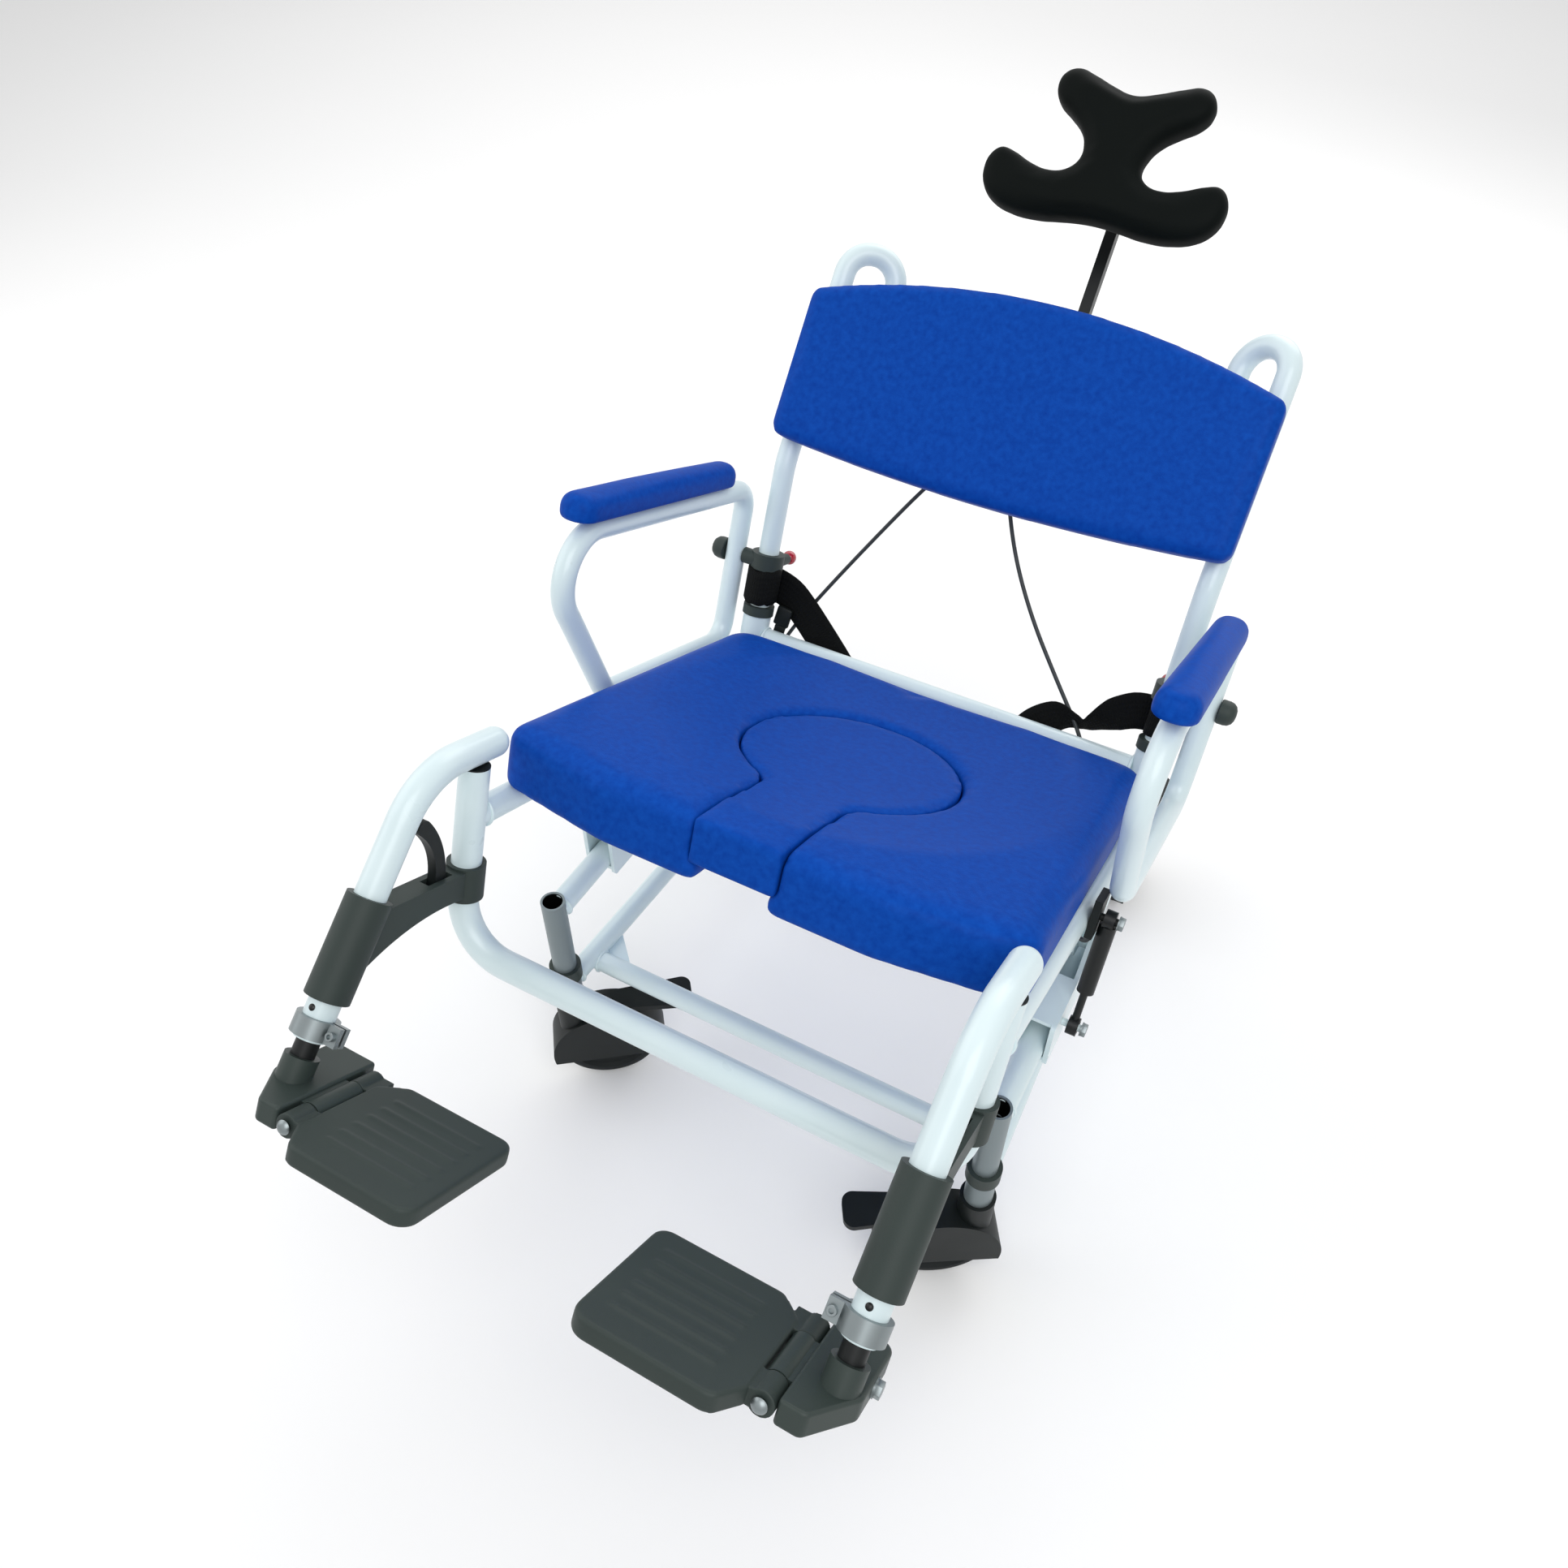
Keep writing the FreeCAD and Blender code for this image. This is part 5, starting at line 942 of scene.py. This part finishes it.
@dataclass
class WaistBelt:
    """Webbing wound round an upright, with a tail that drops behind the rear bar.

    Attributes:
        side: 1 for the chair's left, -1 for its right.
        tail: Points of the tail.
        turns: Number of turns round the upright.
        ruffle: How far the wrap's edges stand in and out, in millimetres.
        width: Width of the webbing.
        thick: Its thickness.
        lanes: Strips across its width.
        steps: Steps in one turn of the wrap.
        layer_gap: Gap between two layers of the wrap.
        upright: Upright's X and Y in the seat frame.
        wrap_radius: Radius of the wrap's first turn.
        wrap_z: Height of the wrap's middle.
    """
    lanes: ClassVar[int] = 6
    steps: ClassVar[int] = 48
    layer_gap: ClassVar[float] = 0.5
    side: int
    tail: tuple[BeltPoint, ...]
    turns: int
    ruffle: float
    width: float = 44.0
    thick: float = 2.0
    upright: Pair = (262.0, 474.0)
    wrap_radius: float = 14.6
    wrap_z: float = 50.0

    def ribbon(self, name: str, spine: list[Vector], across: list[Vector]) -> Piece:
        """Flat strip along a spine, with a UV map in metres along and across it.

        Args:
            name: Piece name.
            spine: Middle points in the chair's frame.
            across: Half-width vectors, one for each point.

        Returns:
            The new piece.
        """
        bm = bmesh.new()
        layer = bm.loops.layers.uv.new("weave")
        shares = [2 * lane / self.lanes - 1 for lane in range(self.lanes + 1)]
        row = [bm.verts.new(spine[0] + across[0] * share) for share in shares]
        edges = [bm.edges.new(pair) for pair in zip(row, row[1:])]
        run = 0.0
        for i in range(1, len(spine)):
            grown = bmesh.ops.extrude_edge_only(bm, edges=edges)["geom"]
            step = (spine[i] - spine[i - 1]).length
            faces = [item for item in grown if isinstance(item, bmesh.types.BMFace)]
            fresh = [item for item in grown if isinstance(item, bmesh.types.BMVert)]
            above = {vert: next(e.other_vert(vert) for e in vert.link_edges if e.other_vert(vert) in row)
                     for vert in fresh}
            lane_of = {above[vert]: vert for vert in fresh}
            after = [lane_of[vert] for vert in row]
            for vert, share in zip(after, shares):
                vert.co = spine[i] + across[i] * share
            for face in faces:
                for loop in face.loops:
                    new = loop.vert in after
                    lane = (after if new else row).index(loop.vert)
                    loop[layer].uv = (run + step * new, self.width * MM * lane / self.lanes)
            run += step
            row = after
            edges = [next(e for e in a.link_edges if e.other_vert(a) is b) for a, b in zip(row, row[1:])]
        mesh = bpy.data.meshes.new(name)
        bm.to_mesh(mesh)
        bm.free()
        smooth(mesh)
        piece = show(name, mesh)
        wall = piece.modifiers.new("wall", "SOLIDIFY")
        wall.thickness = self.thick * MM
        wall.offset = 0.0
        dress(piece, BELT)
        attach(piece, "seat")
        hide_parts(f"waist_strap_{side_name(self.side)}")
        return piece

    def wrap(self, name: str) -> Piece:
        """Winds the webbing round the upright, one layer over another.

        Args:
            name: Piece name.

        Returns:
            The new piece.
        """
        spine, across = [], []
        lift_waves, width_waves, width_share = 2.3, 7.1, 0.4
        for i in range(self.steps * self.turns + 1):
            turn = 2 * math.pi * i / self.steps
            radius = self.wrap_radius + (self.thick + self.layer_gap) * i / self.steps
            lift = self.ruffle * math.sin(lift_waves * turn)
            half = self.width / 2 + width_share * self.ruffle * math.sin(width_waves * turn)
            spine.append(SEAT.at(self.side * self.upright[0] + radius * math.sin(turn),
                                 self.upright[1] + radius * math.cos(turn), self.wrap_z + lift))
            across.append(SEAT.along(0, 0, half * MM))
        piece = self.ribbon(name, spine, across)
        return piece

    def hang(self, name: str) -> Piece:
        """Runs the tail from the wrap to its end behind the rear bar.

        Args:
            name: Piece name.

        Returns:
            The new piece.
        """
        line = [Vector((self.side * place.x, place.y, place.z)) for place in self.tail]
        mesh = traced(f"{name}_line", smooth_line(f"{name}_line", line, 6))
        middle = [vertex.co.copy() for vertex in mesh.vertices]
        spine, across = [], []
        for i, point in enumerate(middle):
            share = i / (len(middle) - 1) * (len(self.tail) - 1)
            low = min(int(share), len(self.tail) - 2)
            first, last, part = self.tail[low], self.tail[low + 1], share - low
            half = first.half + (last.half - first.half) * part
            twist = math.radians(first.twist + (last.twist - first.twist) * part)
            ahead = (middle[min(i + 1, len(middle) - 1)] - middle[max(i - 1, 0)]).normalized()
            flat = Vector((-ahead.z, 0, ahead.x)).normalized() * math.cos(twist)
            spine.append(SEAT.at(*point))
            across.append(SEAT.along(*(flat + Vector((0, math.sin(twist), 0)))) * half * MM)
        piece = self.ribbon(name, spine, across)
        return piece

    def build(self) -> list[Piece]:
        """Makes the wrap and the tail.

        Returns:
            Both pieces.
        """
        name = side_name(self.side)
        return [self.wrap(f"belt_wrap_{name}"), self.hang(f"belt_tail_{name}")]


def waist_belts() -> list[WaistBelt]:
    """Both halves of the waist belt: one tail arches and turns over, the other falls straight."""
    left = ((262, 490.5, 44, 22), (238, 491, 47, 22), (212, 493, 34, 20), (190, 497, 14, 14, 25),
            (176, 499, 1, 9, 40), (158, 498, 4, 13, 25), (138, 494, 2, 20), (114, 492, -22, 22),
            (98, 491, -62, 22), (92, 491, -126, 22))
    right = ((262, 490.5, 50, 22), (234, 491, 48, 22), (207, 492, 27, 22), (175, 492, -1, 22),
             (143, 492, -30, 22), (114, 492, -60, 22), (98, 491, -94, 22), (92, 491, -128, 22))
    return [WaistBelt(side, tuple(BeltPoint(*row) for row in rows), turns, ruffle)
            for side, rows, turns, ruffle in ((1, left, 1, 0.6), (-1, right, 3, 2.2))]


def belt_buckle() -> Piece:
    """Ladder buckle that hangs from the right-hand wrap."""
    lean = math.radians(8)
    turn = SEAT.turn() @ Matrix.Rotation(lean, 3, "Y")
    buckle = Fitting("belt_buckle", BLACK_NYLON, "seat", "dark_plastic")
    for sides, place, edge in (((21, 7, 26), (-231, 486, 12), 2.5), ((15, 5, 14), (-233, 486, -7), 2.0)):
        buckle.block(sides, SEAT.at(*place), turn, edge)
    return buckle.build()


@dataclass
class Studio:
    """Pale floor, soft lamps and the camera that took the photograph.

    Attributes:
        eye: Camera's place in metres.
        turn: Camera's XYZ Euler angles in degrees.
        lens: Focal length in millimetres.
        sensor: Width of the frame in millimetres.
        floor_half: Half of the floor's side in metres.
        floor_drop: How far the floor lies below the wheels in metres.
        ambient: Level of the surround as a light.
    """
    eye: Point = (0.39429, -0.91207, 1.46312)
    turn: Point = (44.4718, -0.2184, 28.7659)
    lens: float = 29.228
    sensor: float = 36.0
    floor_half: float = 12.0
    floor_drop: float = 0.0006
    ambient: float = 0.52

    def camera(self) -> None:
        """Stands the camera where the photograph was taken."""
        data = bpy.data.cameras.new("camera")
        data.sensor_fit = "HORIZONTAL"
        data.sensor_width = self.sensor
        data.lens = self.lens
        data.clip_start = 0.05
        camera = show("camera", data)
        camera.location = self.eye
        camera.rotation_euler = Euler([math.radians(a) for a in self.turn], "XYZ")
        bpy.context.scene.camera = camera

    def floor(self) -> None:
        """Lays a wide pale floor."""
        mesh = bpy.data.meshes.new("floor")
        bm = bmesh.new()
        bmesh.ops.create_grid(bm, x_segments=1, y_segments=1, size=self.floor_half)
        bmesh.ops.translate(bm, verts=bm.verts, vec=(0, 0, -self.floor_drop))
        bm.to_mesh(mesh)
        bm.free()
        floor = show("floor", mesh)
        dress(floor, Finish("pale_studio_floor", "#ffffff", "#fdfdfd", 0.9, grain=4.0, relief=0.01,
                            patch=900.0))

    def lamps(self) -> None:
        """Hangs a broad key lamp, a fill, a rear lamp and one over the far floor."""
        for name, place, aim, size, power in (
                ("key", (1.2, -1.6, 2.8), (0, 0, 0.4), 2.2, 44.0),
                ("fill", (-2.4, -0.6, 2.0), (0, 0, 0.4), 2.6, 24.0),
                ("rear", (0.4, 2.6, 2.4), (0, 0, 0.5), 2.4, 26.0),
                ("backdrop", (-1.8, 3.8, 3.0), (-1.8, 3.8, 0), 5.0, 60.0)):
            data = bpy.data.lights.new(name, "AREA")
            data.size = size
            data.energy = power
            lamp = show(name, data)
            lamp.location = place
            lamp.rotation_euler = (Vector(aim) - Vector(place)).to_track_quat("-Z", "Y").to_euler()

    def world(self) -> None:
        """White surround for the camera and mirrors, a grey one for light."""
        world = bpy.data.worlds.new("surround")
        world.use_nodes = True
        tree = world.node_tree
        shown = tree.nodes["Background"]
        shown.inputs["Color"].default_value = (1, 1, 1, 1)
        path = add_node(tree, "ShaderNodeLightPath")
        seen = path.outputs["Is Camera Ray"]
        for kind in ("Is Glossy Ray", "Is Transmission Ray"):
            seen = add_node(tree, "ShaderNodeMath", {"operation": "MAXIMUM"},
                            {0: seen, 1: path.outputs[kind]}).outputs[0]
        level = add_node(tree, "ShaderNodeMapRange", {"To Min": self.ambient, "To Max": 1.0}, {"Value": seen})
        tree.links.new(level.outputs["Result"], shown.inputs["Strength"])
        bpy.context.scene.world = world

    def build(self) -> None:
        """Sets up the view."""
        bpy.context.scene.view_settings.view_transform = "Standard"
        self.camera()
        self.floor()
        self.lamps()
        self.world()


def foam_pieces() -> list[FoamPiece]:
    """The chair's foam pads, with the faces that carry the user."""
    up = SEAT.along(0, 0, 1)
    back_lean, head_lean = math.radians(17), math.radians(23.5)
    ahead = SEAT.along(0, -math.cos(back_lean), math.sin(back_lean))
    neck = SEAT.along(0, -math.cos(head_lean), math.sin(head_lean))
    pads = [FoamPiece("seat_pad", "seat", BLUE_FOAM, "blue_foam", 6.0, up, 2, 2.0, 0.9),
            FoamPiece("seat_lid", "lid", BLUE_FOAM, "blue_foam", 4.0, up, 2, 1.5, 0.9),
            FoamPiece("back_panel", "seat", BLUE_FOAM, "blue_foam", 5.0, ahead, 2, 3.0, 0.9),
            HeadPad("headrest_pad", "head_pad", BLACK_FOAM, "black_foam", 3.0, neck, 3, 3.0, 0.8)]
    for side in ("left", "right"):
        pads.append(FoamPiece(f"arm_pad_{side}", f"arm_{side}", BLUE_FOAM, "blue_foam", 3.0, up, 3, 2.0, 0.8))
    return pads


def foot_plates() -> list[FootPlate]:
    """Both footplates, with their treads on the upper face."""
    rise = math.radians(LegRestFittings.plate_rise)
    top = SEAT.along(0, math.sin(rise), math.cos(rise))
    return [FootPlate(f"footplate_{side}", f"foot_plate_{side}", GREY_NYLON, "grey_plastic", 1.0, top, 16)
            for side in ("left", "right")]


def release_cables() -> list[ReleaseCable]:
    """Both release cables, with the runs that show below the back panel."""
    left = ((-8, 262), (24, 180), (70, 108), (128, 40), (178, -14))
    right = ((-62, 262), (-96, 215), (-140, 142), (-186, 62), (-222, -6))
    return [ReleaseCable(1, left, 0.789), ReleaseCable(-1, right, 0.762)]


def main() -> None:
    """Builds every piece of the chair in order."""
    logging.basicConfig(level=logging.INFO, format="%(message)s")
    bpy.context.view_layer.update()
    Studio().build()
    for cable in release_cables():
        LOG.info("built %s", cable.build().name)
    for pad in (*foam_pieces(), *foot_plates()):
        LOG.info("built %s", pad.build().name)
    for maker in (*waist_belts(), BaseFittings(), SeatFittings(), LegRestFittings(1), LegRestFittings(-1)):
        for piece in maker.build():
            LOG.info("built %s", piece.name)
    LOG.info("built %s", belt_buckle().name)
    for name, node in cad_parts.items():
        finish = Part.finish_of(name)
        if finish:
            dress(node, finish)
            LOG.info("dressed %s", name)


if __name__ == "__main__":
    main()
